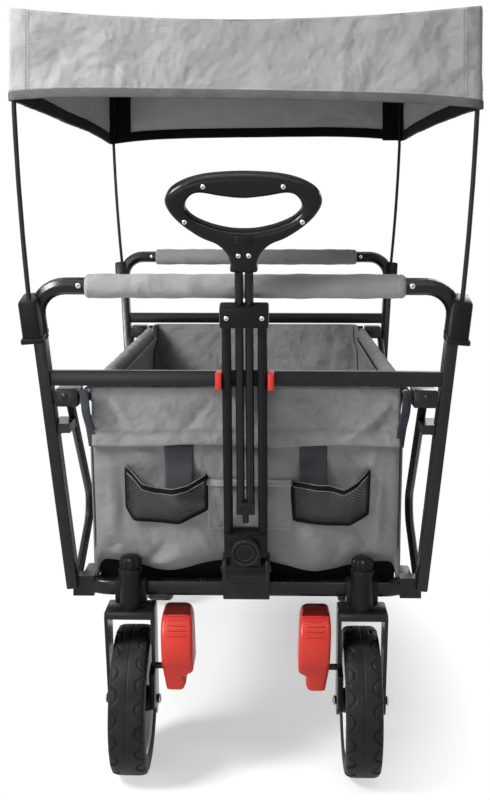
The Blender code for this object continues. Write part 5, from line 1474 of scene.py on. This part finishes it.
class WAGON_OT_bag_sides(bpy.types.Operator):
    """Side panels, the hems round the rails and the side pockets"""

    bl_idname = "wagon.bag_sides"
    bl_label = "Bag Sides"

    def execute(self, context):
        for word, side in SIDES:
            self.panel(side, word)
            self.hems(side, word)
            self.pocket(side, word)
        return {"FINISHED"}

    def panel(self, side, word):
        form = Form()
        form.grid([side_point(np.linspace(*side_ends(z), 110), z, side)
                   for z in np.linspace(0.496, SIDE_LOW_Z, 44)], flip=side > 0)
        panel = thick(form, "bag_panel_" + word, ["cloth", "lining"], 0.0014, -1, node="bag_side_" + word)
        side_fold(panel)

    def hems(self, side, word):
        """Sewn channels that the side rails run through."""
        turn = np.radians(-35 + 250 * np.arange(13) / 12)
        channel = np.column_stack([0.0092 * np.cos(turn), 0.0092 * np.sin(turn)])
        a, b = np.concatenate([channel, [(-0.0068, -0.012), (-0.0064, -0.02), (-0.0062, -0.0265),
                                         (-0.004, -0.0268), (-0.0036, -0.02), (-0.002, -0.011)]]).T
        for end, low, high in (("front", -0.342, 0.031), ("rear", 0.0355, 0.4085)):
            ys = np.linspace(low, high, 90)
            y = ys[:, None]
            swell = 1 + 0.035 * np.sin(y * 120) + 0.03 * np.sin(y * 47 + 1)
            drop = 0.0012 * np.sin(y * 75 + 0.5)
            form = Form()
            form.loft(places(side * (RAIL_X + a * np.where(b > -0.009, swell, 1)), y,
                             RAIL_Z + b * swell + np.where(b < -0.015, drop, 0)))
            hem = form.piece("bag_hem_" + end + "_" + word, ["cloth"])
            sharpen(hem.data, 60)
            dressed(hem, "side_rails_" + end)
            row = [places(side * (RAIL_X - 0.0016), ys[2:-2], RAIL_Z - 0.0125)]
            stitches("bag_hem_stitches_" + end + "_" + word, row, "side_rails_" + end)

    def pocket(self, side, word):
        """Gathered outside pocket with an elastic mouth."""
        across, share = np.meshgrid(np.linspace(0, 1, 65), np.linspace(0, 1, 27))
        rounded = np.maximum(0, np.sin(math.pi * across))
        y = -0.142 + 0.3505 * across
        z = 0.47 - 0.134 * share - 0.004 * rounded * (1 - share)
        edge = rounded ** 0.45
        full = 0.72 + 0.28 * np.sin(math.pi * np.minimum(1, share * 1.6))
        swell = 0.0285 * edge * (1 - share ** 3) * full
        gather = 0.0016 * np.sin(across * 92) * np.exp(-share * 7) * edge
        slow = 0.0016 * np.sin(across * 17 + share * 5) * edge * (1 - share)
        grid = side_point(y, z, side)
        grid[..., 0] += side * (0.001 + swell + gather + slow)
        form = Form()
        form.grid(grid, flip=side > 0)
        pocket = thick(form, "side_pocket_" + word, ["cloth"], 0.0013)
        rim = Form()
        rim.sweep(grid[0] + np.array([side * 0.0004, 0, 0]), round_box(0.0032, 0.01, 0.0012, 2))
        band = dressed(rim.piece("side_pocket_band_" + word, ["tape"]))
        lines = [line + np.array([side * out, 0, 0]) for line, out in (
            (grid[1], 0.0012), (grid[-1], 0.0012), (grid[:, 0], 0.0014), (grid[:, -1], 0.0014))]
        sewn = grown("side_pocket_stitches_" + word, "stitch", line_mesh("side_pocket_lines", lines),
                     Pitch=0.0042, Length=0.003, Width=0.001, Material=FINISH["thread"])
        for piece in (pocket, band, sewn):
            side_fold(piece)


# Frames that the pads' cloth has to swell in
CLOTH_FRAMES = 20


def puffed(piece, voxel, pressure, cap):
    """Swells a closed shape with cloth pressure, each point moved by no more than cap."""
    modifier(piece, "REMESH", mode="VOXEL", voxel_size=voxel)
    settle(piece)
    rest = np.array([v.co for v in piece.data.vertices], float)
    scene = bpy.context.scene
    soft = piece.modifiers.new("Cloth", "CLOTH")
    soft.settings.use_pressure = True
    soft.settings.uniform_pressure_force = pressure
    soft.settings.effector_weights.gravity = 0
    soft.settings.quality = 4
    soft.point_cache.frame_start = 1
    soft.point_cache.frame_end = CLOTH_FRAMES
    for number in range(1, CLOTH_FRAMES + 1):
        scene.frame_set(number)
    settle(piece)
    scene.frame_set(1)
    move = np.array([v.co for v in piece.data.vertices], float) - rest
    length = np.linalg.norm(move, axis=1)
    move *= np.minimum(1, cap / np.maximum(length, 1e-9))[:, None]
    piece.data.vertices.foreach_set("co", (rest + move).ravel())
    modifier(piece, "SUBSURF", levels=1, render_levels=1)
    settle(piece)
    piece.data.shade_smooth()


class WAGON_OT_floor_pads(bpy.types.Operator):
    """Two quilted floor pads and the bag's bottom cloth"""

    bl_idname = "wagon.floor_pads"
    bl_label = "Floor Pads"

    def execute(self, context):
        for word, end in ENDS:
            low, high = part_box("floor_pad_" + word)
            self.cushion(word, low, high)
            self.bottom(word, low.y if end > 0 else high.y, mirrored((0, -0.3045, 0), end)[1])
        return {"FINISHED"}

    def cushion(self, word, low, high):
        form = Form()
        width, length = high.x - low.x - 0.006, high.y - low.y - 0.006
        x, y = np.array(round_box(width, length, 0.014, 4)).T
        form.loft([places(x * size, (low.y + high.y) / 2 + y * size, z) for size, z in (
            (0.97, low.z + 0.0006), (1.0, low.z + 0.003), (1.0, high.z - 0.003), (0.97, high.z - 0.0006))])
        pad = form.piece("floor_cushion_" + word, ["lining"])
        puffed(pad, 0.0045, 3.0, 0.003)
        spots = np.array([v.co for v in pad.data.vertices], float)
        seam_ys = [low.y + length * share for share in (0.27, 0.52, 0.77)]
        seam = np.max([np.exp(-((spots[:, 1] - y) / 0.0045) ** 2) for y in seam_ys], axis=0)
        spots[:, 2] -= seam * ease(spots[:, 2], (low.z + high.z) / 2, high.z) * 0.0038
        spots[:, 2] = np.clip(spots[:, 2], low.z + 0.0002, None)
        pad.data.vertices.foreach_set("co", spots.ravel())
        pad.data.update()
        rows = [places(np.linspace(low.x + 0.012, high.x - 0.012, 60), y, high.z - 0.0022) for y in seam_ys]
        stitches("floor_stitches_" + word, rows, "base_" + word)
        dressed(pad, "base_" + word, "floor_pad_" + word)

    def bottom(self, word, near, far):
        """Black bottom cloth of the bag under one pad, reaching out to the walls."""
        half = 0.1928
        x, y = np.meshgrid(np.linspace(-half, half, 60), np.linspace(near, far, 60))
        form = Form()
        form.grid(places(x, y, 0.2522 + 0.0002 * np.sin(x * 90 + y * 40)), flip=word == "front")
        cloth = thick(form, "bag_bottom_" + word, ["tape"], 0.0006, 0, "base_" + word)


class WAGON_OT_grip_sleeves(bpy.types.Operator):
    """Padded cloth sleeves on the two push bars"""

    bl_idname = "wagon.grip_sleeves"
    bl_label = "Grip Sleeves"

    def execute(self, context):
        for word, _ in ENDS:
            low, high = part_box(word + "_grip_sleeve")
            centre = (low + high) / 2
            radius = (high.z - low.z) / 2
            first, last = low.x + 0.0008, high.x - 0.0008
            x, t = np.linspace(first, last, 150)[:, None], 2 * math.pi * np.arange(40) / 40
            inset = np.minimum(x - first, last - x)
            lip = 1 - 0.18 * np.exp(-(inset / 0.0022) ** 2)
            lip = lip - 0.055 * np.exp(-((inset - 0.0085) / 0.0022) ** 2)
            fold = waves(x, t * 0.03, 13, 6, (0.03, 0.11), 0.8) * 0.02
            twist = 0.02 * np.sin(x * 75 + 2 * t) + 0.016 * np.sin(x * 160 - 2 * t)
            seam = -0.07 * np.exp(-((t - 4.4) / 0.13) ** 2)
            size = radius * (0.975 * lip + fold + twist + seam)
            form = Form()
            form.loft(places(x, centre.y + size * np.cos(t), centre.z + size * np.sin(t)))
            sleeve = form.piece(word + "_sleeve", ["sleeve"])
            dressed(sleeve, word + "_end", word + "_grip_sleeve")
            t = np.linspace(0, 2 * math.pi, 40)
            size = radius * 0.945
            lines = [places(x, centre.y + size * np.cos(t), centre.z + size * np.sin(t))
                     for x in (first + 0.0085, last - 0.0085)]
            stitches(word + "_sleeve_stitches", lines, word + "_end")
        return {"FINISHED"}


# Wheels
WHEELS = [(end + "_" + word, side) for end in ("front", "rear") for word, side in SIDES]

# Outlines by (along the axle, radius): half a tyre from its crown, and the rim's parts
TYRE_CROWN = (
    (0.0, 0.093), (0.008, 0.093), (0.016, 0.0926), (0.0205, 0.0912), (0.023, 0.0885),
    (0.0238, 0.085), (0.0238, 0.08), (0.0234, 0.0755), (0.0226, 0.0722), (0.0214, 0.0698),
    (0.0204, 0.0685))
RIM_BARREL = (
    (-0.0203, 0.068), (-0.0203, 0.064), (-0.0188, 0.0618), (-0.015, 0.0604), (0.0, 0.0598),
    (0.015, 0.0604), (0.0188, 0.0618), (0.0203, 0.064), (0.0203, 0.068), (0.018, 0.0684),
    (-0.018, 0.0684))
RIM_WEB = (
    (0.002, 0.0606), (0.0032, 0.054), (0.0052, 0.03), (0.0075, 0.02), (0.011, 0.0172),
    (-0.011, 0.0172), (-0.0075, 0.02), (-0.0052, 0.03), (-0.0032, 0.054), (-0.002, 0.0606))
HUB = (
    (-0.0249, 0.006), (-0.0249, 0.013), (-0.0236, 0.0152), (-0.015, 0.0166), (-0.008, 0.0171),
    (0.008, 0.0171), (0.015, 0.0166), (0.0236, 0.0152), (0.0249, 0.013), (0.0249, 0.006))


def middle_of(node):
    low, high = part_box(node)
    return (low + high) / 2


def turned(profile, centre, steps):
    """Rings of an outline spun round a wheel's axle through centre."""
    a, r = np.array(profile, float).T
    t = 2 * math.pi * np.arange(steps)[:, None] / steps
    return places(centre.x + a, centre.y + r * np.cos(t), centre.z + r * np.sin(t))


def tyre_profile():
    """Outline of the tyre from bead to bead: along the axle, radius, distance from the middle."""
    fine = []
    for (a, r), (b, s) in zip(TYRE_CROWN, TYRE_CROWN[1:]):
        cuts = 8 if r > 0.088 else 3
        fine.extend([(a + (b - a) * i / cuts, r + (s - r) * i / cuts) for i in range(cuts)])
    fine = np.array([*fine, TYRE_CROWN[-1]])
    lengths = np.concatenate([[0], np.cumsum(np.hypot(*np.diff(fine, axis=0).T))])
    half = np.column_stack([fine, lengths])
    return np.concatenate([half[:0:-1] * (-1, 1, -1), half])


class WAGON_OT_tyres(bpy.types.Operator):
    """Four tyres with wavy shoulder grooves"""

    bl_idname = "wagon.tyres"
    bl_label = "Tyres"

    def execute(self, context):
        wheel = context.scene.wagon.wheel
        profile = tyre_profile()
        half = profile[profile[:, 2] >= 0]
        for word, _ in WHEELS:
            centre = middle_of("tyre_" + word)
            form = Form()
            rings = turned(profile[:, :2], centre, 300)
            form.grid(rings, wrap_rows=True)
            form.grid([rings[:, 0], rings[:, -1]], wrap_columns=True)
            data = form.mesh("tyre_" + word)
            with edited(data) as bm:
                bmesh.ops.remove_doubles(bm, verts=bm.verts, dist=0.00001)
                bmesh.ops.recalc_face_normals(bm, faces=bm.faces)
            data.shade_smooth()
            x, y, z = np.array([v.co for v in data.vertices], float).T - np.array(centre)[:, None]
            away = (half[:, 0, None] - np.abs(x)) ** 2 + (half[:, 1, None] - np.hypot(z, y)) ** 2
            across = np.copysign(half[np.argmin(away, axis=0), 2], x)
            for name, values in (("around", np.arctan2(z, y)), ("across", across)):
                layer = data.attributes.new(name, "FLOAT", "POINT")
                layer.data.foreach_set("value", values.astype(np.float32))
            tyre = grown("tyre_rubber_" + word, "tread", data, Waves=wheel.groove_count,
                         Depth=wheel.groove_depth, Material=FINISH["rubber"])
            tyre.data.shade_smooth()
            dressed(tyre, "wheel_" + word, "tyre_" + word)
        return {"FINISHED"}


class WAGON_OT_rims(bpy.types.Operator):
    """Pale rims with twin spokes, black hubs and their bolts"""

    bl_idname = "wagon.rims"
    bl_label = "Rims"

    def execute(self, context):
        for word, _ in WHEELS:
            self.rim(word, middle_of("rim_" + word))
        nuts = []
        for word, side in WHEELS[2:]:
            centre = middle_of("rim_" + word)
            nuts.append(((side * 0.2062, centre.y, centre.z), (side, 0, 0)))
        screws("rear_axle_nuts", nuts, "rear_end", 0.0085, 0.0045)
        for word, side in SIDES:
            centre = middle_of("rim_front_" + word)
            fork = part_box("fork_" + word)
            bolts = [((fork[side > 0].x - side * 0.0006, centre.y, centre.z), (side, 0, 0)),
                     ((side * (CASTER_X - 0.0345), centre.y, centre.z), (-side, 0, 0))]
            screws("fork_bolts_" + word, bolts, "caster_" + word, 0.0065, 0.002)
        return {"FINISHED"}

    def rim(self, word, centre):
        form = Form()
        for outline in (RIM_BARREL, RIM_WEB):
            form.grid(turned(outline, centre, 120), wrap_rows=True, wrap_columns=True)
        rim = form.piece("rim_pale_" + word, ["rim"])
        sharpen(rim.data, 50)
        dressed(rim, "wheel_" + word, "rim_" + word)
        spots = []
        for t in 2 * math.pi * np.arange(12) / 12:
            for out in (-1, 1):
                for r, height in ((0.03, 0.0062), (0.049, 0.0044)):
                    spots.append(((centre.x + out * height, centre.y + r * math.cos(t),
                                   centre.z + r * math.sin(t)), (out * -0.1, math.cos(t), math.sin(t))))
        ribs("rim_spokes_" + word, spots, 0.025, 0.0062, "rim", "wheel_" + word)
        hub = Form()
        hub.grid(turned(HUB, centre, 56), wrap_rows=True, wrap_columns=True)
        core = hub.piece("hub_black_" + word, ["plastic"])
        sharpen(core.data, 45)
        dressed(core, "wheel_" + word)


# Caster cap from below: height, radius and share of its ribs
CASTER_CAP = (
    (0.27, 0.0004, 0), (0.27, 0.015, 0), (0.2748, 0.0153, 0), (0.2762, 0.0148, 0), (0.2766, 0.0122, 0),
    (0.279, 0.012, 0), (0.2798, 0.0136, 1), (0.285, 0.0139, 1), (0.289, 0.013, 1), (0.2915, 0.0104, 0.8),
    (0.2926, 0.007, 0.4), (0.293, 0.003, 0), (0.293, 0.0004, 0))


class WAGON_OT_casters(bpy.types.Operator):
    """Housings, ribbed caps and brake shoes of the two casters"""

    bl_idname = "wagon.casters"
    bl_label = "Casters"

    def execute(self, context):
        for word, side in SIDES:
            housing = finished_copy("caster_housing_" + word, "plastic", 0.0014)
            with edited(housing.data) as bm:
                bmesh.ops.delete(bm, geom=[v for v in bm.verts if v.co.z > 0.2756], context="VERTS")
            form = Form()
            t = 2 * math.pi * np.arange(90) / 90
            rings = []
            for z, r, knurl in CASTER_CAP:
                size = r * (1 + 0.055 * knurl * np.tanh(3 * np.cos(9 * t)))
                rings.append(places(side * CASTER_X + size * np.cos(t), CASTER_Y + size * np.sin(t), z))
            form.loft(rings)
            cap = form.piece("caster_cap_" + word, ["plastic"])
            sharpen(cap.data, 35)
            dressed(cap, "front_end")
            shoe = Form()
            k = np.arange(10) / 9
            path = places(side * 0.1218, CASTER_Y + 0.006 + 0.004 * np.sin(k * math.pi), 0.092 + 0.052 * k)
            shoe.sweep(path, round_box(0.0072, 0.03, 0.0022, 3), up=(0, 1, 0))
            block = shoe.piece("brake_shoe_" + word, ["plastic"])
            sharpen(block.data, 45)
            round_edges(block, 0.0012)
            dressed(block, "caster_" + word)
        return {"FINISHED"}


# Outline of a pedal by height: height, front, outer edge, inner edge
PEDAL_ROWS = (
    (0.1272, -0.364, 0.1, 0.0805), (0.1282, -0.3652, 0.1012, 0.0793), (0.134, -0.366, 0.1024, 0.0768),
    (0.14, -0.3668, 0.1034, 0.0766), (0.1436, -0.3673, 0.1042, 0.079), (0.1452, -0.3676, 0.1045, 0.0786),
    (0.15, -0.3686, 0.1052, 0.069), (0.152, -0.3691, 0.1056, 0.0672), (0.157, -0.3704, 0.1062, 0.0668),
    (0.1612, -0.3722, 0.1068, 0.067), (0.164, -0.3733, 0.107, 0.0671), (0.173, -0.3737, 0.1076, 0.0674),
    (0.185, -0.3727, 0.1082, 0.0678), (0.1975, -0.3688, 0.1088, 0.0684), (0.2035, -0.365, 0.109, 0.0688),
    (0.209, -0.3606, 0.109, 0.0692), (0.2135, -0.3558, 0.1088, 0.07), (0.2178, -0.35, 0.108, 0.0715),
    (0.2202, -0.3452, 0.1066, 0.0738), (0.2213, -0.341, 0.1046, 0.0765))


class WAGON_OT_pedals(bpy.types.Operator):
    """Red brake pedals with tread ribs, their tops painted darker as the shade of the rail above"""

    bl_idname = "wagon.pedals"
    bl_label = "Brake Pedals"

    def execute(self, context):
        heights, fronts = np.array(PEDAL_ROWS).T[:2]
        for word, side in SIDES:
            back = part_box("brake_pedal_" + word)[1].y
            form = Form()
            rings = []
            for z, front, outer, inner in PEDAL_ROWS:
                a, b = np.array(round_box(outer - inner, back - front, 0.0048, 4)).T
                rings.append(places(side * (outer + inner) / 2 + a, (front + back) / 2 + b, z))
            form.loft(rings)
            pedal = form.piece("pedal_" + word, ["red", "painted_shade_red"])
            # Faces on top of the pedal take the darker red: painted shade from the rail above
            for face in pedal.data.polygons:
                face.material_index = int(face.normal.z > 0.72 and face.center.z > 0.216)
            sharpen(pedal.data, 42)
            dressed(pedal, "pedal_" + word, "brake_pedal_" + word)
            spots = [((side * 0.0886, np.interp(z, heights, fronts) - 0.0001, z), (1, 0, 0))
                     for z in (0.2172, 0.2132, 0.2082, 0.2033, 0.1978)]
            ribs("pedal_ribs_" + word, spots, 0.024, 0.0026, "red", "pedal_" + word)
        return {"FINISHED"}


def rail_line(end, half=0.211, line=0.35, bend=0.035, stub=0.283):
    """Path of the lower rail round one end."""
    t = np.radians(90 * np.arange(11) / 10)
    corner = [(half - bend + bend * math.sin(a), line - bend + bend * math.cos(a)) for a in t]
    front = [(x, line) for x in np.linspace(-half + bend, half - bend, 14)[1:-1]]
    plan = [(-half, stub), *[(-x, y) for x, y in corner[::-1]], *front, *corner, (half, stub)]
    return [(x, MIDDLE_Y + end * y, 0.2445) for x, y in plan]


class WAGON_OT_rails(bpy.types.Operator):
    """Lower rails, each one bent square tube"""

    bl_idname = "wagon.rails"
    bl_label = "Lower Rails"

    def execute(self, context):
        for word, end in ENDS:
            form = Form()
            form.sweep(rail_line(end), round_box(0.0196, 0.0196, 0.0042, 4))
            rail = form.piece(word + "_rail_tube", ["steel"])
            sharpen(rail.data, 50)
            dressed(rail, word + "_end", word + "_lower_rail")
        return {"FINISHED"}


# Pull handle: half outlines of the loop grip and of its hole, as (across, up the handle)
GRIP_OUTER = (
    (0, 0.5267), (0.03, 0.5255), (0.053, 0.5222), (0.073, 0.5155), (0.0874, 0.5055), (0.0929, 0.4925),
    (0.087, 0.4779), (0.0734, 0.4632), (0.0517, 0.448), (0.0318, 0.439), (0.0207, 0.4276),
    (0.016, 0.4151), (0.0145, 0.4042))
GRIP_HOLE = (
    (0, 0.496), (0.026, 0.4985), (0.0517, 0.5025), (0.064, 0.4975), (0.0688, 0.4846), (0.06, 0.4727),
    (0.04, 0.463), (0.018, 0.4575), (0, 0.4562))
GRIP_ROUND = 0.0082
LEAN_SIN, LEAN_COS = math.sin(HANDLE_LEAN), math.cos(HANDLE_LEAN)
HANDLE_FRONT = (0, -LEAN_COS, -LEAN_SIN)


def handle_point(x, up, out=0.0):
    """A place on the leaning handle: across, up along it and out in front."""
    return Vector((x, HANDLE_PIVOT.y - up * LEAN_SIN - out * LEAN_COS,
                   HANDLE_PIVOT.z + up * LEAN_COS - out * LEAN_SIN))


def front_of(node, low, high, half=0.02):
    """How far out a node reaches between two places up the handle."""
    x, y, z = np.array([v.co - HANDLE_PIVOT for v in frame["nodes"][node].data.vertices]).T
    up, out = -y * LEAN_SIN + z * LEAN_COS, -y * LEAN_COS - z * LEAN_SIN
    return float(np.max(out[(low <= up) & (up <= high) & (np.abs(x) < half)]))


def smooth_loop(half, steps=8):
    """A closed loop through one side's points and their mirror, by Catmull-Rom."""
    whole = np.array(list(half) + [(-x, y) for x, y in half[::-1] if x > 1e-6], float)
    loop = []
    for i in range(len(whole)):
        a, b, c, d = (whole[(i + k) % len(whole)] for k in (-1, 0, 1, 2))
        for t in np.arange(steps) / steps:
            loop.append(0.5 * (2 * b + (c - a) * t + (2 * a - 5 * b + 4 * c - d) * t * t
                               + (3 * b - a - 3 * c + d) * t ** 3))
    return loop


class WAGON_OT_handle(bpy.types.Operator):
    """Loop grip, its screws, the slotted slider end and the hub ring"""

    bl_idname = "wagon.handle"
    bl_label = "Pull Handle"

    def execute(self, context):
        self.grip(context)
        self.details()
        return {"FINISHED"}

    def grip(self, context):
        curve = bpy.data.curves.new("grip_outline", "CURVE")
        curve.dimensions = "2D"
        curve.fill_mode = "BOTH"
        curve.extrude = 0.013 - GRIP_ROUND
        curve.bevel_depth = GRIP_ROUND
        curve.bevel_resolution = 6
        curve.offset = -GRIP_ROUND
        for half in (GRIP_OUTER, GRIP_HOLE):
            loop = [p for p in smooth_loop(half) if p[1] > 0.4041]
            spline = curve.splines.new("POLY")
            spline.points.add(len(loop) - 1)
            for point, place in zip(spline.points, loop):
                point.co = (place[0], place[1], 0, 1)
            spline.use_cyclic_u = True
        shape = bpy.data.objects.new("grip_outline", curve)
        context.scene.collection.objects.link(shape)
        graph = context.evaluated_depsgraph_get()
        graph.update()
        data = bpy.data.meshes.new_from_object(shape.evaluated_get(graph))
        bpy.data.objects.remove(shape)
        data.transform(Matrix([[1, 0, 0, 0],
                               [0, -LEAN_SIN, -LEAN_COS, HANDLE_PIVOT.y],
                               [0, LEAN_COS, -LEAN_SIN, HANDLE_PIVOT.z],
                               [0, 0, 0, 1]]))
        loop = bpy.data.objects.new("handle_loop", data)
        context.scene.collection.objects.link(loop)
        modifier(loop, "REMESH", mode="VOXEL", voxel_size=0.0013)
        modifier(loop, "SMOOTH", factor=0.5, iterations=4)
        settle(loop)
        loop.data.materials.clear()
        loop.data.materials.append(FINISH["grip"])
        loop.data.shade_smooth()
        dressed(loop, "handle_inner", "handle_grip")

    def details(self):
        spots = [(handle_point(sx * x, up, out), HANDLE_FRONT) for x, up, out in (
            (0.0469, 0.5114, 0.0124), (0.0693, 0.4684, 0.0124), (0.0062, 0.427, 0.0126)) for sx in (-1, 1)]
        screws("grip_screws", spots, "handle_inner", 0.0031, 0.0016)
        clamp = front_of("handle_clamp", 0.334, 0.361, 0.04)
        spots = [(handle_point(sx * 0.0215, 0.3475, clamp - 0.0002), HANDLE_FRONT) for sx in (-1, 1)]
        screws("clamp_screws", spots, "handle_outer", 0.0031, 0.0015)
        slider = front_of("handle_inner_frame", 0.078, 0.099)
        spots = [(handle_point(x, 0.0885, slider), (0, -LEAN_SIN, LEAN_COS))
                 for x in (-0.0066, -0.0022, 0.0022, 0.0066)]
        made = grown("slider_ribs", "rib", point_mesh("slider_ribs", spots), Length=0.013, Width=0.0018,
                     Material=FINISH["plastic"])
        dressed(made, "handle_inner")
        hub = front_of("handle_outer_frame", 0.02, 0.048, 0.018)
        form = Form()
        for radius, thick_by in ((0.0165, 0.0019), (0.0105, 0.0011)):
            ring = []
            for t in 2 * math.pi * np.arange(128) / 128:
                size = radius + 0.0005 * math.cos(24 * t)
                ring.append(handle_point(size * math.cos(t), 0.033 + size * math.sin(t), hub))
            form.sweep(ring, circle(thick_by, 8), closed=True, up=HANDLE_FRONT)
        dressed(form.piece("handle_hub_ring", ["tube"]), "handle_outer")


class WAGON_OT_fasteners(bpy.types.Operator):
    """Screws and bolts of the push bars, brackets, links and lower frame"""

    bl_idname = "wagon.fasteners"
    bl_label = "Fasteners"

    def execute(self, context):
        for word, end in ENDS:
            body = word + "_end"
            bar = middle_of(word + "_grip_sleeve")
            spots = [((sx * 0.2058, bar.y + sy * 0.0106, bar.z + 0.001), (0, sy, 0.08))
                     for sx in (-1, 1) for sy in (-1, 1)]
            screws(word + "_bar_screws", spots, body, 0.0036, 0.0018)
            spots = [(face_at(word + part + hand, side * x, z, end), (0, end, 0)) for hand, side in SIDES
                     for part, x, z in (("_bracket_", 0.228, 0.505), ("_stay_", 0.239, 0.456))]
            screws(word + "_bracket_bolts", spots, body, 0.0046, 0.0026, "steel", 0.0)
            spots = [((x, MIDDLE_Y + end * 0.35, 0.2543), (0, 0, 1)) for x in (-0.19, -0.06, 0.06, 0.19)]
            screws(word + "_rail_rivets", spots, body, 0.003, 0.001, "steel", 0.0)
        return {"FINISHED"}


CLASSES = [WagonCloth, WagonFrame, WagonWheel, WagonLooks, WAGON_OT_finishes, WAGON_OT_canopy,
           WAGON_OT_bag_ends, WAGON_OT_bag_flap, WAGON_OT_bag_pockets, WAGON_OT_bag_sides,
           WAGON_OT_floor_pads, WAGON_OT_grip_sleeves, WAGON_OT_tyres, WAGON_OT_rims,
           WAGON_OT_casters, WAGON_OT_pedals, WAGON_OT_rails, WAGON_OT_handle, WAGON_OT_fasteners,
           WAGON_OT_frame, WAGON_OT_stage]
STEPS = ("finishes", "stage", "canopy", "frame", "bag_ends", "bag_flap", "bag_pockets", "bag_sides",
         "floor_pads", "grip_sleeves", "tyres", "rims", "casters", "pedals", "rails", "handle", "fasteners")


class WAGON_PT_looks(bpy.types.Panel):
    """Sizes, colours and one button for each group of pieces"""

    bl_idname = "WAGON_PT_looks"
    bl_label = "Folding Wagon"
    bl_space_type = "VIEW_3D"
    bl_region_type = "UI"
    bl_category = "Wagon"

    def draw(self, context):
        looks = context.scene.wagon
        for group in (looks.cloth, looks.frame, looks.wheel):
            box = self.layout.box()
            for name in group.__annotations__:
                box.prop(group, name)
        for step in STEPS:
            self.layout.operator("wagon." + step)


def register():
    for kind in [*CLASSES, WAGON_PT_looks]:
        bpy.utils.register_class(kind)
    bpy.types.Scene.wagon = PointerProperty(type=WagonLooks, name="Wagon", description="Wagon looks")


def unregister():
    del bpy.types.Scene.wagon
    for kind in reversed([*CLASSES, WAGON_PT_looks]):
        bpy.utils.unregister_class(kind)


def main():
    register()
    for step in STEPS:
        getattr(bpy.ops.wagon, step)()


if __name__ == "__main__":
    main()
